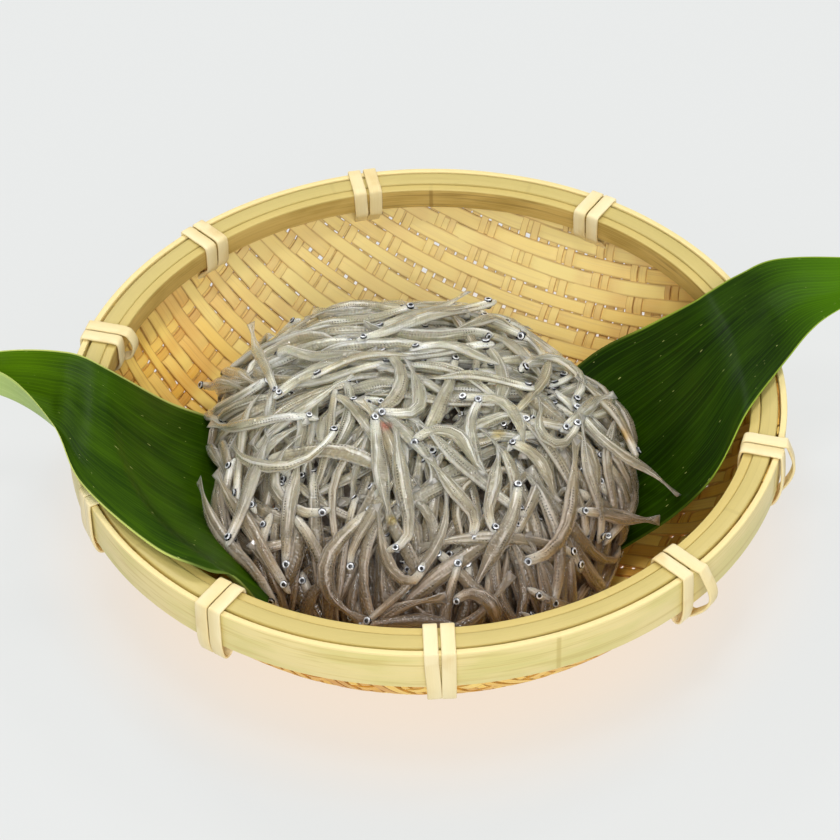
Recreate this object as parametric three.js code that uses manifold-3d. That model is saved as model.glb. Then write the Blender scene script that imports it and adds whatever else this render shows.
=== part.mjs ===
// Raw whitebait heaped in a round woven bamboo basket, with two long green leaves laid over the rim.
// Millimetres, +Z up. The origin is the middle of the flat patch the basket stands on.
// The front of the basket looks along -Y and the leaves reach out to -X and +X.

import * as THREE from 'three';
import { mergeVertices } from 'three/addons/utils/BufferGeometryUtils.js';
import Module from 'manifold-3d';

const wasm = await Module();
wasm.setup();

// Woven bowl
const bowlRadius = 118;
const bowlBase = 1.5;
const bowlRise = 46.5;
const bowlPower = 6;
const bowlThickness = 3.0;
const footRadius = 46;
const lipTop = 57.2;
const roundSides = 48;

// Rim: a thick hoop between a thin strip inside and a thin tall strip outside
const thickHoop = { inner: 112.2, outer: 117.0, bottom: 49.8, top: 58.0, corner: 1.1 };
const innerStrip = { inner: 108.6, outer: 111.9, bottom: 49.6, top: 57.4, corner: 0 };
const outerStrip = { inner: 118.8, outer: 120.6, bottom: 43.3, top: 57.6, corner: 0 };

// Cane straps that bind the rim, two side by side at each place
const strapAngles = [100, 57, 20, -15.8, -46.8, -88.8, -125.2, -156.7, 163.3, 132.4];
const strapWidth = 4.6;
const strapThickness = 0.9;
const strapSpread = 2.5;
const strapSplay = 0.4;

// Leaves
const leafThickness = 0.55;
const leafAlong = 22;
const leafAcross = 8;
const lipShare = 0.125;
const leafRest = { height: 60.4, from: 105.6, to: 122.6, drop: 3 };

// Heap of fish
const heap = {
  x: -3,
  y: -5,
  top: 64,
  alongX: 74,
  alongY: 88,
  plan: 1.9,
  lean: -0.1,
  power: 2.15,
  spill: 0.1,
  spillAngle: 222,
};
const coreInset = 4.2;
const gap = 0.35;
const fishCount = 96;
const fishLength = [39, 51];
const fishHalfDepth = 3.1;
const fishHalfThickness = 2.3;
const fishSides = 3;
const fishPoints = 4;
const fishPress = 0.72;
const highestRide = 5.5;
const fishChoices = 14;

const { PI, abs, cos, exp, hypot, log, max, min, pow, sin, sqrt } = Math;
const radians = (degrees) => degrees * PI / 180;

// Repeatable random numbers between 0 and 1
let seed = 20411;
function random() {
  seed = (seed + 0x6d2b79f5) | 0;
  let t = Math.imul(seed ^ (seed >>> 15), 1 | seed);
  t = (t + Math.imul(t ^ (t >>> 7), 61 | t)) ^ t;
  return ((t ^ (t >>> 14)) >>> 0) / 4294967296;
}
const between = (low, high) => low + (high - low) * random();

// ---- general solids

function toManifold(geometry) {
  const bare = new THREE.BufferGeometry();
  bare.setAttribute('position', geometry.getAttribute('position').clone());
  if (geometry.index) bare.setIndex(geometry.index.clone());
  const merged = mergeVertices(bare, 1e-4);
  return new wasm.Manifold(new wasm.Mesh({
    numProp: 3,
    vertProperties: new Float32Array(merged.getAttribute('position').array),
    triVerts: new Uint32Array(merged.index.array),
  }));
}

function fromManifold(solid) {
  const data = solid.getMesh();
  const geometry = new THREE.BufferGeometry();
  geometry.setAttribute('position', new THREE.BufferAttribute(new Float32Array(data.vertProperties), 3));
  geometry.setIndex(new THREE.BufferAttribute(new Uint32Array(data.triVerts), 1));
  return geometry;
}

// A closed body of revolution about Z from a profile of [radius, height] pairs
function turned(profile) {
  const points = profile.map(([r, z]) => new THREE.Vector2(r, z));
  return new THREE.LatheGeometry(points, roundSides).rotateX(PI / 2);
}

// A body between two grids of points that share their rows and columns, closed round the edge
function slab(top, bottom, rows, columns) {
  const positions = [...top, ...bottom].flatMap((p) => [p.x, p.y, p.z]);
  const faces = [];
  const at = (i, j) => i * (columns + 1) + j;
  const below = top.length;
  const quad = (a, b, c, d) => faces.push(a, b, c, a, c, d);
  for (let i = 0; i < rows; i++) {
    for (let j = 0; j < columns; j++) {
      const [a, b, c, d] = [at(i, j), at(i + 1, j), at(i + 1, j + 1), at(i, j + 1)];
      faces.push(a, b, c, a, c, d);
      faces.push(below + a, below + c, below + b, below + a, below + d, below + c);
    }
  }
  for (let i = 0; i < rows; i++) {
    quad(at(i, 0), below + at(i, 0), below + at(i + 1, 0), at(i + 1, 0));
    quad(at(i + 1, columns), below + at(i + 1, columns), below + at(i, columns), at(i, columns));
  }
  for (let j = 0; j < columns; j++) {
    quad(at(0, j + 1), below + at(0, j + 1), below + at(0, j), at(0, j));
    quad(at(rows, j), below + at(rows, j), below + at(rows, j + 1), at(rows, j + 1));
  }
  const geometry = new THREE.BufferGeometry();
  geometry.setAttribute('position', new THREE.Float32BufferAttribute(positions, 3));
  geometry.setIndex(faces);
  return facingOut(geometry);
}

// Turns a closed body's faces outwards if they look in
function facingOut(geometry) {
  const p = geometry.getAttribute('position');
  const index = geometry.index.array;
  const [a, b, c] = [new THREE.Vector3(), new THREE.Vector3(), new THREE.Vector3()];
  let volume = 0;
  for (let i = 0; i < index.length; i += 3) {
    a.fromBufferAttribute(p, index[i]);
    b.fromBufferAttribute(p, index[i + 1]);
    c.fromBufferAttribute(p, index[i + 2]);
    volume += a.dot(b.cross(c));
  }
  if (volume < 0) {
    for (let i = 0; i < index.length; i += 3) [index[i + 1], index[i + 2]] = [index[i + 2], index[i + 1]];
  }
  return geometry;
}

// ---- basket

const bowlMiddle = (r) => bowlBase + bowlRise * pow(r / bowlRadius, bowlPower);
const bowlSlope = (r) => bowlPower * bowlRise / bowlRadius * pow(r / bowlRadius, bowlPower - 1);

// Point on the bowl's section, set off from its middle surface
function bowlPoint(r, off) {
  const slope = bowlSlope(r);
  const length = hypot(1, slope);
  return [r - off * slope / length, bowlMiddle(r) + off / length];
}
const bowlTop = (r) => bowlMiddle(r) + bowlThickness / 2 * hypot(1, bowlSlope(r));

function bowl() {
  const half = bowlThickness / 2;
  const stations = [62, 80, 94, 105, 114];
  const outside = stations.map((r) => bowlPoint(r, -half));
  const inside = stations.map((r) => bowlPoint(r, half)).reverse();
  return turned([
    [0, 0],
    [footRadius, 0],
    ...outside,
    [bowlRadius + 0.5, 46],
    [bowlRadius + 0.5, lipTop],
    [bowlRadius - 0.7, lipTop],
    [bowlRadius - 0.7, 49],
    ...inside,
    [footRadius, bowlThickness],
    [0, bowlThickness],
  ]);
}

// A bamboo hoop: a ring of rectangular section, with its corners eased if it is thick
function hoop({ inner, outer, bottom, top, corner }) {
  const c = corner;
  if (c === 0) return turned([[inner, bottom], [outer, bottom], [outer, top], [inner, top], [inner, bottom]]);
  return turned([
    [inner + c, bottom],
    [outer - c, bottom],
    [outer, bottom + c],
    [outer, top - c],
    [outer - c, top],
    [inner + c, top],
    [inner, top - c],
    [inner, bottom + c],
    [inner + c, bottom],
  ]);
}

// Outline of a band of even thickness along a path in a plane
function bandOutline(path, thickness) {
  const sides = [-1, 1].map((side) => path.map((p, i) => {
    const before = i ? p.clone().sub(path[i - 1]).normalize() : null;
    const after = i < path.length - 1 ? path[i + 1].clone().sub(p).normalize() : null;
    const along = (before ?? after).clone().add(after ?? before).normalize();
    const reach = thickness / 2 / max(0.6, along.dot(after ?? before));
    return new THREE.Vector2(p.x - side * along.y * reach, p.y + side * along.x * reach);
  }));
  return [...sides[0], ...sides[1].reverse()];
}

// One strap: up the inside of the rim, over the top, down the outside and tucked in below
function strap(angle, side) {
  const insideR = innerStrip.inner - 1.1;
  const outsideR = outerStrip.outer + 0.9;
  const topZ = thickHoop.top + 1.0;
  const path = [
    [thickHoop.inner + 0.6, innerStrip.bottom - 4.2],
    [innerStrip.inner + 0.8, innerStrip.bottom - 2.2],
    [insideR, innerStrip.bottom + 0.2],
    [insideR, topZ - 1.6],
    [insideR + 1.3, topZ],
    [outsideR - 1.1, topZ],
    [outsideR, topZ - 1.1],
    [outsideR, outerStrip.bottom - 1.6],
    [outsideR - 2.2, outerStrip.bottom - 4.6],
  ].map(([r, z]) => new THREE.Vector2(r, z));
  const shape = new THREE.Shape(bandOutline(path, strapThickness));
  const geometry = new THREE.ExtrudeGeometry(shape, { depth: strapWidth, bevelEnabled: false });
  geometry.translate(0, 0, -strapWidth / 2).rotateX(PI / 2);
  const position = geometry.getAttribute('position');
  for (let i = 0; i < position.count; i++) {
    const height = (position.getZ(i) - outerStrip.bottom) / (topZ - outerStrip.bottom);
    const spread = strapSpread + strapSplay * max(0, min(1, height));
    position.setY(i, position.getY(i) + side * spread);
  }
  return geometry.rotateZ(radians(angle));
}

// ---- leaves

// Each leaf is a blade between two smooth margins, from its outer end to the end under the heap.
// fold is how far its middle sinks below the margins at the same stations, and curl is how far
// the front margin stands up there as a lip.
const leftLeaf = {
  back: [[-166, 10, 64], [-144, 20, 63], [-120, 17, 64.5], [-104, 9.5, 60.5],
    [-88, 19, 38], [-70, 27, 21], [-48, 20, 12]],
  front: [[-165, 8, 66], [-142, 2.5, 69], [-123, -21, 66.5], [-112, -46, 62.5],
    [-88, -74, 61], [-71, -85, 60.5], [-53, -83, 38]],
  fold: [2, 6, 4, 0, 2, 6, 3],
  curl: [6, 10, 5, 0.5, 0, 0, 0],
};
const rightLeaf = {
  back: [[166, 47, 69], [145, 54, 67], [122, 56, 65.5], [108, 50, 62.8],
    [95, 42, 59.5], [79, 46, 45], [61, 48, 32], [42, 40, 20]],
  front: [[166, 43, 68], [142, 28, 66], [131, 20, 62.8], [119, 3, 61],
    [107, -16, 60.6], [96, -33, 50], [82, -34, 30], [61, -36, 13]],
  fold: [1, 4, 2.5, 0.5, 0, 1, 5, 4],
  curl: [0, 0],
};

function smoothCurve(points) {
  const stations = points.map((p) => new THREE.Vector3(...p));
  const curve = new THREE.CatmullRomCurve3(stations, false, 'catmullrom', 0.5);
  return (t) => curve.getPoint(max(0, min(1, t)));
}

// Smooth larger of two numbers
const softMax = (a, b) => max(a, b) + 0.8 * log(1 + exp(-abs(a - b) / 0.8));

// Lowest the leaf may hang at a distance from the middle: it lies on the rim and its straps
function restHeight(r) {
  const { height, from, to, drop } = leafRest;
  return height - drop * max(0, from - r, r - to);
}

function leafSurface({ back, front, fold, curl }) {
  const [backCurve, frontCurve] = [smoothCurve(back), smoothCurve(front)];
  const foldCurve = smoothCurve(fold.map((f) => [f, 0, 0]));
  const curlCurve = smoothCurve(curl.map((c) => [c, 0, 0]));
  return (u, v) => {
    const a = backCurve(u);
    const b = frontCurve(u);
    const p = a.clone().lerp(b, v);
    const side = 2 * v - 1;
    p.z -= foldCurve(u).x * (1 - pow(min(1, abs(side)), 1.4));
    p.z -= curlCurve(u).x * min(v / (1 - lipShare), (1 - v) / lipShare);
    p.z += 0.5 * sin(9 * u + 2) * sin(5 * side) * min(1, 4 * u);
    p.z = softMax(p.z, restHeight(hypot(p.x, p.y)));
    p.z = max(p.z, bowlTop(min(hypot(p.x, p.y), bowlRadius - 14)) + 1.2);
    return p;
  };
}

// Grid of points set off from a leaf along its own normal
function leafGrid(surface, off, [u0, u1], [v0, v1], rows, columns) {
  const points = [];
  const step = 0.01;
  for (let i = 0; i <= rows; i++) {
    for (let j = 0; j <= columns; j++) {
      const u = u0 + (u1 - u0) * i / rows;
      const v = v0 + (v1 - v0) * j / columns;
      const along = surface(min(u + step, 1), v).sub(surface(max(u - step, 0), v));
      const across = surface(u, v + step).sub(surface(u, v - step));
      const normal = along.cross(across).normalize();
      if (normal.z < 0) normal.negate();
      points.push(surface(u, v).addScaledVector(normal, off));
    }
  }
  return points;
}

function leaf(surface) {
  const grid = (off) => leafGrid(surface, off, [0, 1], [0, 1], leafAlong, leafAcross);
  return slab(grid(leafThickness / 2), grid(-leafThickness / 2), leafAlong, leafAcross);
}

// The room a leaf and the space below it take out of the heap
function leafRoom(surface) {
  const top = leafGrid(surface, leafThickness / 2 + gap, [0.45, 1], [-0.02, 1.02], 10, leafAcross);
  const bottom = top.map((p) => new THREE.Vector3(p.x, p.y, -12));
  return toManifold(slab(top, bottom, 10, leafAcross));
}

const leafSurfaces = [leftLeaf, rightLeaf].map(leafSurface);

// Height of the leaves over the ground plan, kept in cells of 2 mm
const cellSize = 2;
const leafHeights = new Map();
for (const surface of leafSurfaces) {
  for (let i = 0; i <= 200; i++) {
    for (let j = 0; j <= 120; j++) {
      const p = surface(i / 200, j / 120);
      const key = `${Math.round(p.x / cellSize)},${Math.round(p.y / cellSize)}`;
      leafHeights.set(key, max(p.z, leafHeights.get(key) ?? -1));
    }
  }
}
function groundHeight(x, y) {
  const key = `${Math.round(x / cellSize)},${Math.round(y / cellSize)}`;
  return max(bowlTop(min(hypot(x, y), bowlRadius)), leafHeights.get(key) ?? 0);
}

// ---- heap

// Uneven swell of the heap round its middle, fullest where it spills on to the left leaf
function swell(angle, height) {
  const spill = pow(max(0, cos(angle - radians(heap.spillAngle))), 8) * heap.spill;
  const broad = 0.02 * sin(3 * angle + 0.4) + 0.028 * sin(5 * angle + 1.1 + 2 * height);
  const fine = 0.018 * sin(9 * angle - 3 * height);
  return 1 + spill + broad + fine;
}

// Reach of the heap from its middle, by angle, where it meets what it lies on
function heapReach(angle) {
  const [c, d] = [abs(cos(angle)) / heap.alongX, abs(sin(angle)) / heap.alongY];
  return pow(pow(c, heap.plan) + pow(d, heap.plan), -1 / heap.plan);
}

// Ground plan position at a share of the reach
function heapPlace(angle, share) {
  const reach = heapReach(angle) * share;
  const y = reach * sin(angle);
  return [heap.x + reach * cos(angle) + heap.lean * y, heap.y + y];
}

// Height of the foot of the heap by angle: on the bowl in front and behind, on a leaf at each side
const footSteps = 72;
const footRaw = Array.from({ length: footSteps }, (_, i) => {
  const place = heapPlace(2 * PI * i / footSteps, 0.93);
  return groundHeight(...place);
});
const footHeights = footRaw.map((_, i) => {
  let sum = 0;
  for (let k = -4; k <= 4; k++) sum += footRaw[(i + k + footSteps) % footSteps];
  return sum / 9;
});
function footHeight(angle) {
  const place = ((angle / (2 * PI)) % 1 + 1) % 1 * footSteps;
  const i = Math.floor(place);
  const share = place - i;
  return footHeights[i % footSteps] * (1 - share) + footHeights[(i + 1) % footSteps] * share;
}

// How far a point lies outside (positive) or inside (negative) the heap's skin, as a share of its size
function heapLevel(p, inset) {
  const y = p.y - heap.y;
  const x = p.x - heap.x - heap.lean * y;
  const angle = Math.atan2(y, x);
  const foot = footHeight(angle);
  const height = max(0, p.z - foot) / (heap.top - inset - foot);
  const spread = hypot(x, y) / (heapReach(angle) - inset) / swell(angle, height);
  return pow(pow(spread, heap.power) + pow(height, heap.power), 1 / heap.power) - 1;
}

function heapNormal(p, inset) {
  const step = 0.5;
  const slope = ['x', 'y', 'z'].map((axis) => {
    const a = p.clone();
    const b = p.clone();
    a[axis] += step;
    b[axis] -= step;
    return heapLevel(a, inset) - heapLevel(b, inset);
  });
  return new THREE.Vector3(...slope).normalize();
}

// Nearest point of the heap's skin, found along its slope
function ontoHeap(point, inset) {
  const p = point.clone();
  for (let i = 0; i < 5; i++) {
    const normal = heapNormal(p, inset);
    const ahead = p.clone().addScaledVector(normal, 1);
    const rate = heapLevel(ahead, inset) - heapLevel(p, inset);
    p.addScaledVector(normal, -max(-6, min(6, heapLevel(p, inset) / max(rate, 1e-3))));
  }
  return p;
}

// The bare heap as a closed body, its skin set in; it reaches down past the bowl, to be cut to it
function heapCore(inset, rings, sides) {
  const foot = -14;
  const points = [new THREE.Vector3(heap.x, heap.y, foot)];
  const onRing = (share, angle, down) => {
    const height = pow(max(0, 1 - pow(share, heap.power)), 1 / heap.power);
    const reach = share * swell(angle, height) * (1 - inset / heapReach(angle));
    const [x, y] = heapPlace(angle, reach);
    const z = footHeight(angle) * (1 - height) + (heap.top - inset) * height;
    return new THREE.Vector3(x, y, down ? foot : z);
  };
  for (let i = 0; i <= rings; i++) {
    const share = i < 2 ? 1 : sin(PI / 2 * (rings + 1 - i) / rings);
    for (let j = 0; j < sides; j++) points.push(onRing(share, 2 * PI * j / sides, i === 0));
  }
  points.push(new THREE.Vector3(heap.x, heap.y, heap.top - inset));
  const faces = [];
  for (let j = 0; j < sides; j++) {
    const k = (j + 1) % sides;
    faces.push(0, 1 + k, 1 + j);
    for (let i = 0; i < rings; i++) {
      const [a, b] = [1 + i * sides + j, 1 + i * sides + k];
      faces.push(a, b, b + sides, a, b + sides, a + sides);
    }
    faces.push(1 + rings * sides + j, 1 + rings * sides + k, points.length - 1);
  }
  const geometry = new THREE.BufferGeometry();
  geometry.setAttribute('position', new THREE.Float32BufferAttribute(points.flatMap((p) => p.toArray()), 3));
  geometry.setIndex(faces);
  return toManifold(facingOut(geometry));
}

// The bowl and everything under it, with the gap the heap keeps from it
function bowlRoom() {
  const stations = [62, 80, 94, 105];
  return toManifold(turned([
    [0, -20],
    [110, -20],
    ...stations.map((r) => bowlPoint(r, bowlThickness / 2 + gap)).reverse(),
    [footRadius, bowlThickness + gap],
    [0, bowlThickness + gap],
  ]));
}

// Share of the full girth along a fish, from snout to tail
const girth = [0.2, 1, 0.9, 0.3];

// Body of one fish along its middle line; out points away from the heap at each point
function fishBody(line, out) {
  const positions = [];
  const faces = [];
  const last = line.length - 1;
  line.forEach((p, i) => {
    const along = line[min(i + 1, last)].clone().sub(line[max(i - 1, 0)]).normalize();
    const across = along.clone().cross(out[i]).normalize();
    const up = across.clone().cross(along).normalize();
    const thin = i === last ? 0.35 : 1;
    for (let k = 0; k < fishSides; k++) {
      const turn = PI / 2 + 2 * PI * k / fishSides;
      const q = p.clone();
      q.addScaledVector(across, fishHalfDepth * girth[i] * cos(turn));
      q.addScaledVector(up, fishHalfThickness * girth[i] * thin * sin(turn));
      positions.push(...q.toArray());
    }
  });
  for (let i = 0; i < last; i++) {
    for (let k = 0; k < fishSides; k++) {
      const a = i * fishSides + k;
      const b = i * fishSides + (k + 1) % fishSides;
      faces.push(a, b, b + fishSides, a, b + fishSides, a + fishSides);
    }
  }
  for (let k = 1; k < fishSides - 1; k++) {
    faces.push(0, k + 1, k);
    faces.push(last * fishSides, last * fishSides + k, last * fishSides + k + 1);
  }
  const geometry = new THREE.BufferGeometry();
  geometry.setAttribute('position', new THREE.Float32BufferAttribute(positions, 3));
  geometry.setIndex(faces);
  return toManifold(facingOut(geometry));
}

// Direction a fish lies in: level along X on top of the heap, downhill on its sides
function lieOf(normal) {
  const steep = THREE.MathUtils.smoothstep(1 - normal.z, 0.08, 0.32);
  const level = new THREE.Vector3(1, 0, 0).projectOnPlane(normal).normalize();
  const down = new THREE.Vector3(0, 0, -1).projectOnPlane(normal).normalize();
  if (level.dot(down) < 0) level.negate();
  const lie = level.multiplyScalar(1 - steep).addScaledVector(down, steep).normalize();
  return lie.applyAxisAngle(normal, radians(between(-38, 38)));
}

const placed = [];

// How far a point has to ride out from the skin to clear the fish already laid
function rideOut(point, normal, reach) {
  let ride = 0;
  for (const other of placed) {
    const offset = other.clone().sub(point);
    const along = offset.dot(normal);
    const aside = offset.lengthSq() - along * along;
    if (aside < reach * reach) ride = max(ride, along + sqrt(reach * reach - aside));
  }
  return ride;
}

// Lays one fish on the heap; gives its middle line and the outward directions, or null if it rides too high
function layFish(start, length) {
  const inset = coreInset - 0.8;
  const reach = (fishHalfDepth + fishHalfThickness) * fishPress;
  const step = length / (fishPoints - 1);
  const line = [];
  const out = [];
  let p = ontoHeap(start, inset);
  let heading = lieOf(heapNormal(p, inset));
  p = ontoHeap(p.addScaledVector(heading, -length / 2), inset);
  const bend = radians(between(-9, 9));
  for (let i = 0; i < fishPoints; i++) {
    const normal = heapNormal(p, inset);
    line.push(p.clone());
    out.push(normal);
    heading = heading.projectOnPlane(normal).normalize().applyAxisAngle(normal, bend);
    p = ontoHeap(p.clone().addScaledVector(heading, step), inset);
  }
  const ride = line.map((q, i) => rideOut(q, out[i], reach));
  for (let pass = 0; pass < 6; pass++) {
    for (let i = 1; i < fishPoints - 1; i++) ride[i] = max(ride[i], (ride[i - 1] + ride[i + 1]) / 2 - 0.5);
  }
  if (max(...ride) > highestRide) return null;
  line.forEach((q, i) => {
    q.addScaledVector(out[i], ride[i]);
    q.z = max(q.z, groundHeight(q.x, q.y) + fishHalfThickness + 0.6);
  });
  if (random() < 0.5) {
    line.reverse();
    out.reverse();
  }
  return { line, out };
}

// A random place on the heap to start a fish from
function anyStart() {
  const angle = 2 * PI * random();
  const share = pow(random(), 0.5);
  const [x, y] = heapPlace(angle, share);
  const foot = footHeight(angle);
  const height = sqrt(max(0, 1 - share * share)) * between(0.4, 1);
  return new THREE.Vector3(x, y, foot + (heap.top - foot) * height);
}

// Room round a fish: how far the points of its middle line are from the nearest fish already laid
function roomRound(line) {
  const nearest = (p) => min(40, ...placed.map((other) => other.distanceTo(p)));
  return line.reduce((sum, p) => sum + nearest(p), 0) / line.length;
}

function whitebaitHeap() {
  const solids = [heapCore(coreInset, 9, 32)];
  while (solids.length <= fishCount) {
    let best = null;
    let bestRoom = -1;
    for (let i = 0; i < fishChoices; i++) {
      const fish = layFish(anyStart(), between(...fishLength));
      if (!fish || fish.line.some((p) => hypot(p.x, p.y) > 99)) continue;
      const room = roomRound(fish.line);
      if (room > bestRoom) [best, bestRoom] = [fish, room];
    }
    if (!best) break;
    best.line.forEach((p, k) => {
      const next = best.line[min(k + 1, fishPoints - 1)];
      for (const share of [0, 1 / 3, 2 / 3]) placed.push(p.clone().lerp(next, share));
    });
    solids.push(fishBody(best.line, best.out));
  }
  let solid = wasm.Manifold.union(solids);
  solid = solid.subtract(bowlRoom());
  for (const surface of leafSurfaces) solid = solid.subtract(leafRoom(surface));
  const bodies = solid.simplify(0.06).decompose();
  bodies.sort((a, b) => b.volume() - a.volume());
  return fromManifold(bodies[0]);
}

// ---- the object

const group = new THREE.Group();

function add(name, geometry, color, roughness) {
  const material = new THREE.MeshStandardMaterial({ color, roughness, metalness: 0 });
  const mesh = new THREE.Mesh(geometry, material);
  mesh.name = name;
  group.add(mesh);
}

add('basket_weave', bowl(), 0xe9c27a, 0.55);
add('rim_thick_hoop', hoop(thickHoop), 0xc9b877, 0.5);
add('rim_inner_strip', hoop(innerStrip), 0xa8955a, 0.55);
add('rim_outer_strip', hoop(outerStrip), 0xd2c588, 0.45);
strapAngles.forEach((angle, i) => {
  const number = String(i + 1).padStart(2, '0');
  add(`rim_tie_${number}a`, strap(angle, -1), 0xf0dfa8, 0.5);
  add(`rim_tie_${number}b`, strap(angle, 1), 0xf0dfa8, 0.5);
});
add('leaf_left', leaf(leafSurfaces[0]), 0x1f5218, 0.35);
add('leaf_right', leaf(leafSurfaces[1]), 0x1d4a1b, 0.35);
add('whitebait_heap', whitebaitHeap(), 0xa9a798, 0.3);

export default group;
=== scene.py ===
from math import cos, pi, radians, sin

import bmesh
import bpy
import numpy as np
from mathutils import Matrix, Vector


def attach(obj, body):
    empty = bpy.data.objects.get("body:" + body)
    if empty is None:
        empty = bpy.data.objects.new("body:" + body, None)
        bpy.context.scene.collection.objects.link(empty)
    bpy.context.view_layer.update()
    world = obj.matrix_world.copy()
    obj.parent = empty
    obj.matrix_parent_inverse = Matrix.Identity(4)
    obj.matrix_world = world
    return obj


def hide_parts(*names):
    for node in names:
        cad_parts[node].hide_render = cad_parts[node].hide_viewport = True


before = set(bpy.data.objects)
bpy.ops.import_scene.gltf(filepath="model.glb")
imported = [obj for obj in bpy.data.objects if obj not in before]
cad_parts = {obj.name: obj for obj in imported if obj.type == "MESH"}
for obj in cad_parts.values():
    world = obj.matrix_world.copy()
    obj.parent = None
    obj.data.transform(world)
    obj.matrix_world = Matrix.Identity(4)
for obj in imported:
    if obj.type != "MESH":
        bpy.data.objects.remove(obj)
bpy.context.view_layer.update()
scene = bpy.context.scene
scene.view_settings.view_transform = "Standard"
mm = 0.001  # shapes are worked out in millimetres and kept in metres


# sums in node trees

class NodeValue:
    # a value inside a node tree, so that a sum can be written as a sum
    def __init__(self, tree, socket):
        self.tree = tree
        self.socket = socket

    def math(self, operation, *others):
        return mathNode(self.tree, operation, self, *others)

    def __add__(self, other):
        return self.math("ADD", other)

    def __sub__(self, other):
        return self.math("SUBTRACT", other)

    def __rsub__(self, other):
        return mathNode(self.tree, "SUBTRACT", other, self)

    def __mul__(self, other):
        return self.math("MULTIPLY", other)

    def __truediv__(self, other):
        return self.math("DIVIDE", other)

    __radd__ = __add__
    __rmul__ = __mul__


def feed(tree, value, socket):
    if isinstance(value, NodeValue):
        tree.links.new(value.socket, socket)
    else:
        socket.default_value = value


def addNode(tree, kind, inputs=None, **settings):
    node = tree.nodes.new(kind)
    for name, value in settings.items():
        setattr(node, name, value)
    for key, value in (inputs or {}).items():
        feed(tree, value, node.inputs[key])
    return node


def mathNode(tree, operation, *values):
    node = tree.nodes.new("ShaderNodeMath")
    node.operation = operation
    for socket, value in zip(node.inputs, values):
        feed(tree, value, socket)
    return NodeValue(tree, node.outputs[0])


def outOf(node, name=0):
    return NodeValue(node.id_data, node.outputs[name])


def between(value, low, high, kind="SMOOTHSTEP", bottom=0.0, top=1.0):
    # 0 below low, 1 above high, smooth in between
    inputs = {"Value": value, "From Min": low, "From Max": high, "To Min": bottom, "To Max": top}
    return outOf(addNode(value.tree, "ShaderNodeMapRange", inputs, interpolation_type=kind))


def joinXyz(tree, x, y, z):
    return outOf(addNode(tree, "ShaderNodeCombineXYZ", {0: x, 1: y, 2: z}))


def splitXyz(vector):
    node = addNode(vector.tree, "ShaderNodeSeparateXYZ", {0: vector})
    return [outOf(node, i) for i in range(3)]


def noiseOf(vector, scale=1.0, detail=2.0, roughness=0.5):
    inputs = {"Vector": vector, "Scale": scale, "Detail": detail, "Roughness": roughness}
    return outOf(addNode(vector.tree, "ShaderNodeTexNoise", inputs), 0)


def randomOf(value, seed):
    node = addNode(value.tree, "ShaderNodeTexWhiteNoise", {"W": value * 7.31 + seed}, noise_dimensions="1D")
    return outOf(node, "Value")


def mixColours(factor, first, second):
    # the Mix node's sockets 6 and 7 are its two colours, and output 2 is the mixed one
    inputs = {0: factor, 6: first, 7: second}
    return outOf(addNode(factor.tree, "ShaderNodeMix", inputs, data_type="RGBA"), 2)


def paint(red, green, blue):
    # a screen colour from 0 to 255 as the light values a shader works in
    shares = [c / 255 for c in (red, green, blue)]
    return tuple(c / 12.92 if c <= 0.04045 else ((c + 0.055) / 1.055) ** 2.4 for c in shares) + (1.0,)


def newFinish(name, **sockets):
    material = bpy.data.materials.new(name)
    material.use_nodes = True
    tree = material.node_tree
    shader = tree.nodes["Principled BSDF"]
    for key, value in sockets.items():
        shader.inputs[key.replace("_", " ")].default_value = value
    return material, tree, shader


def addBump(tree, shader, height, strength, distance):
    inputs = {"Height": height, "Strength": strength, "Distance": distance}
    node = addNode(tree, "ShaderNodeBump", inputs)
    tree.links.new(node.outputs[0], shader.inputs["Normal"])


def readAttribute(tree, name, output="Fac"):
    return outOf(addNode(tree, "ShaderNodeAttribute", attribute_name=name), output)


def readUv(tree, name):
    return outOf(addNode(tree, "ShaderNodeUVMap", uv_map=name))


def objectPoint(tree):
    return outOf(addNode(tree, "ShaderNodeTexCoord"), "Object")


# making pieces

def meshPiece(name, points, faceSets, materials, uvSets=None, uvName="body", pointData=None, paintSets=None):
    # points in millimetres; each face set holds faces with the same number of corners
    mesh = bpy.data.meshes.new(name)
    corners = np.concatenate([faces.ravel() for faces in faceSets]).astype(np.int32)
    sizes = np.concatenate([np.full(len(faces), faces.shape[1]) for faces in faceSets])
    starts = (np.cumsum(sizes) - sizes).astype(np.int32)
    mesh.vertices.add(len(points))
    mesh.vertices.foreach_set("co", (np.asarray(points) * mm).astype(np.float32).ravel())
    mesh.loops.add(len(corners))
    mesh.loops.foreach_set("vertex_index", corners)
    mesh.polygons.add(len(sizes))
    mesh.polygons.foreach_set("loop_start", starts)
    mesh.polygons.foreach_set("use_smooth", np.ones(len(sizes), bool))
    if paintSets is not None:
        mesh.polygons.foreach_set("material_index", np.concatenate(paintSets).astype(np.int32))
    mesh.update(calc_edges=True)
    if uvSets is not None:
        layer = mesh.uv_layers.new(name=uvName)
        allUv = np.concatenate([uv.reshape(-1, 2) for uv in uvSets])
        layer.data.foreach_set("uv", allUv.astype(np.float32).ravel())
    for key, values in (pointData or {}).items():
        attribute = mesh.attributes.new(key, "FLOAT", "POINT")
        attribute.data.foreach_set("value", np.asarray(values, np.float32))
    for material in materials:
        mesh.materials.append(material)
    piece = bpy.data.objects.new(name, mesh)
    scene.collection.objects.link(piece)
    return piece


def faceOutwards(mesh, sharpAngle=None):
    shape = bmesh.new()
    shape.from_mesh(mesh)
    bmesh.ops.recalc_face_normals(shape, faces=shape.faces)
    shape.to_mesh(mesh)
    shape.free()
    if sharpAngle is not None:
        mesh.polygons.foreach_set("use_smooth", np.ones(len(mesh.polygons), bool))
        mesh.set_sharp_from_angle(angle=radians(sharpAngle))


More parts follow.
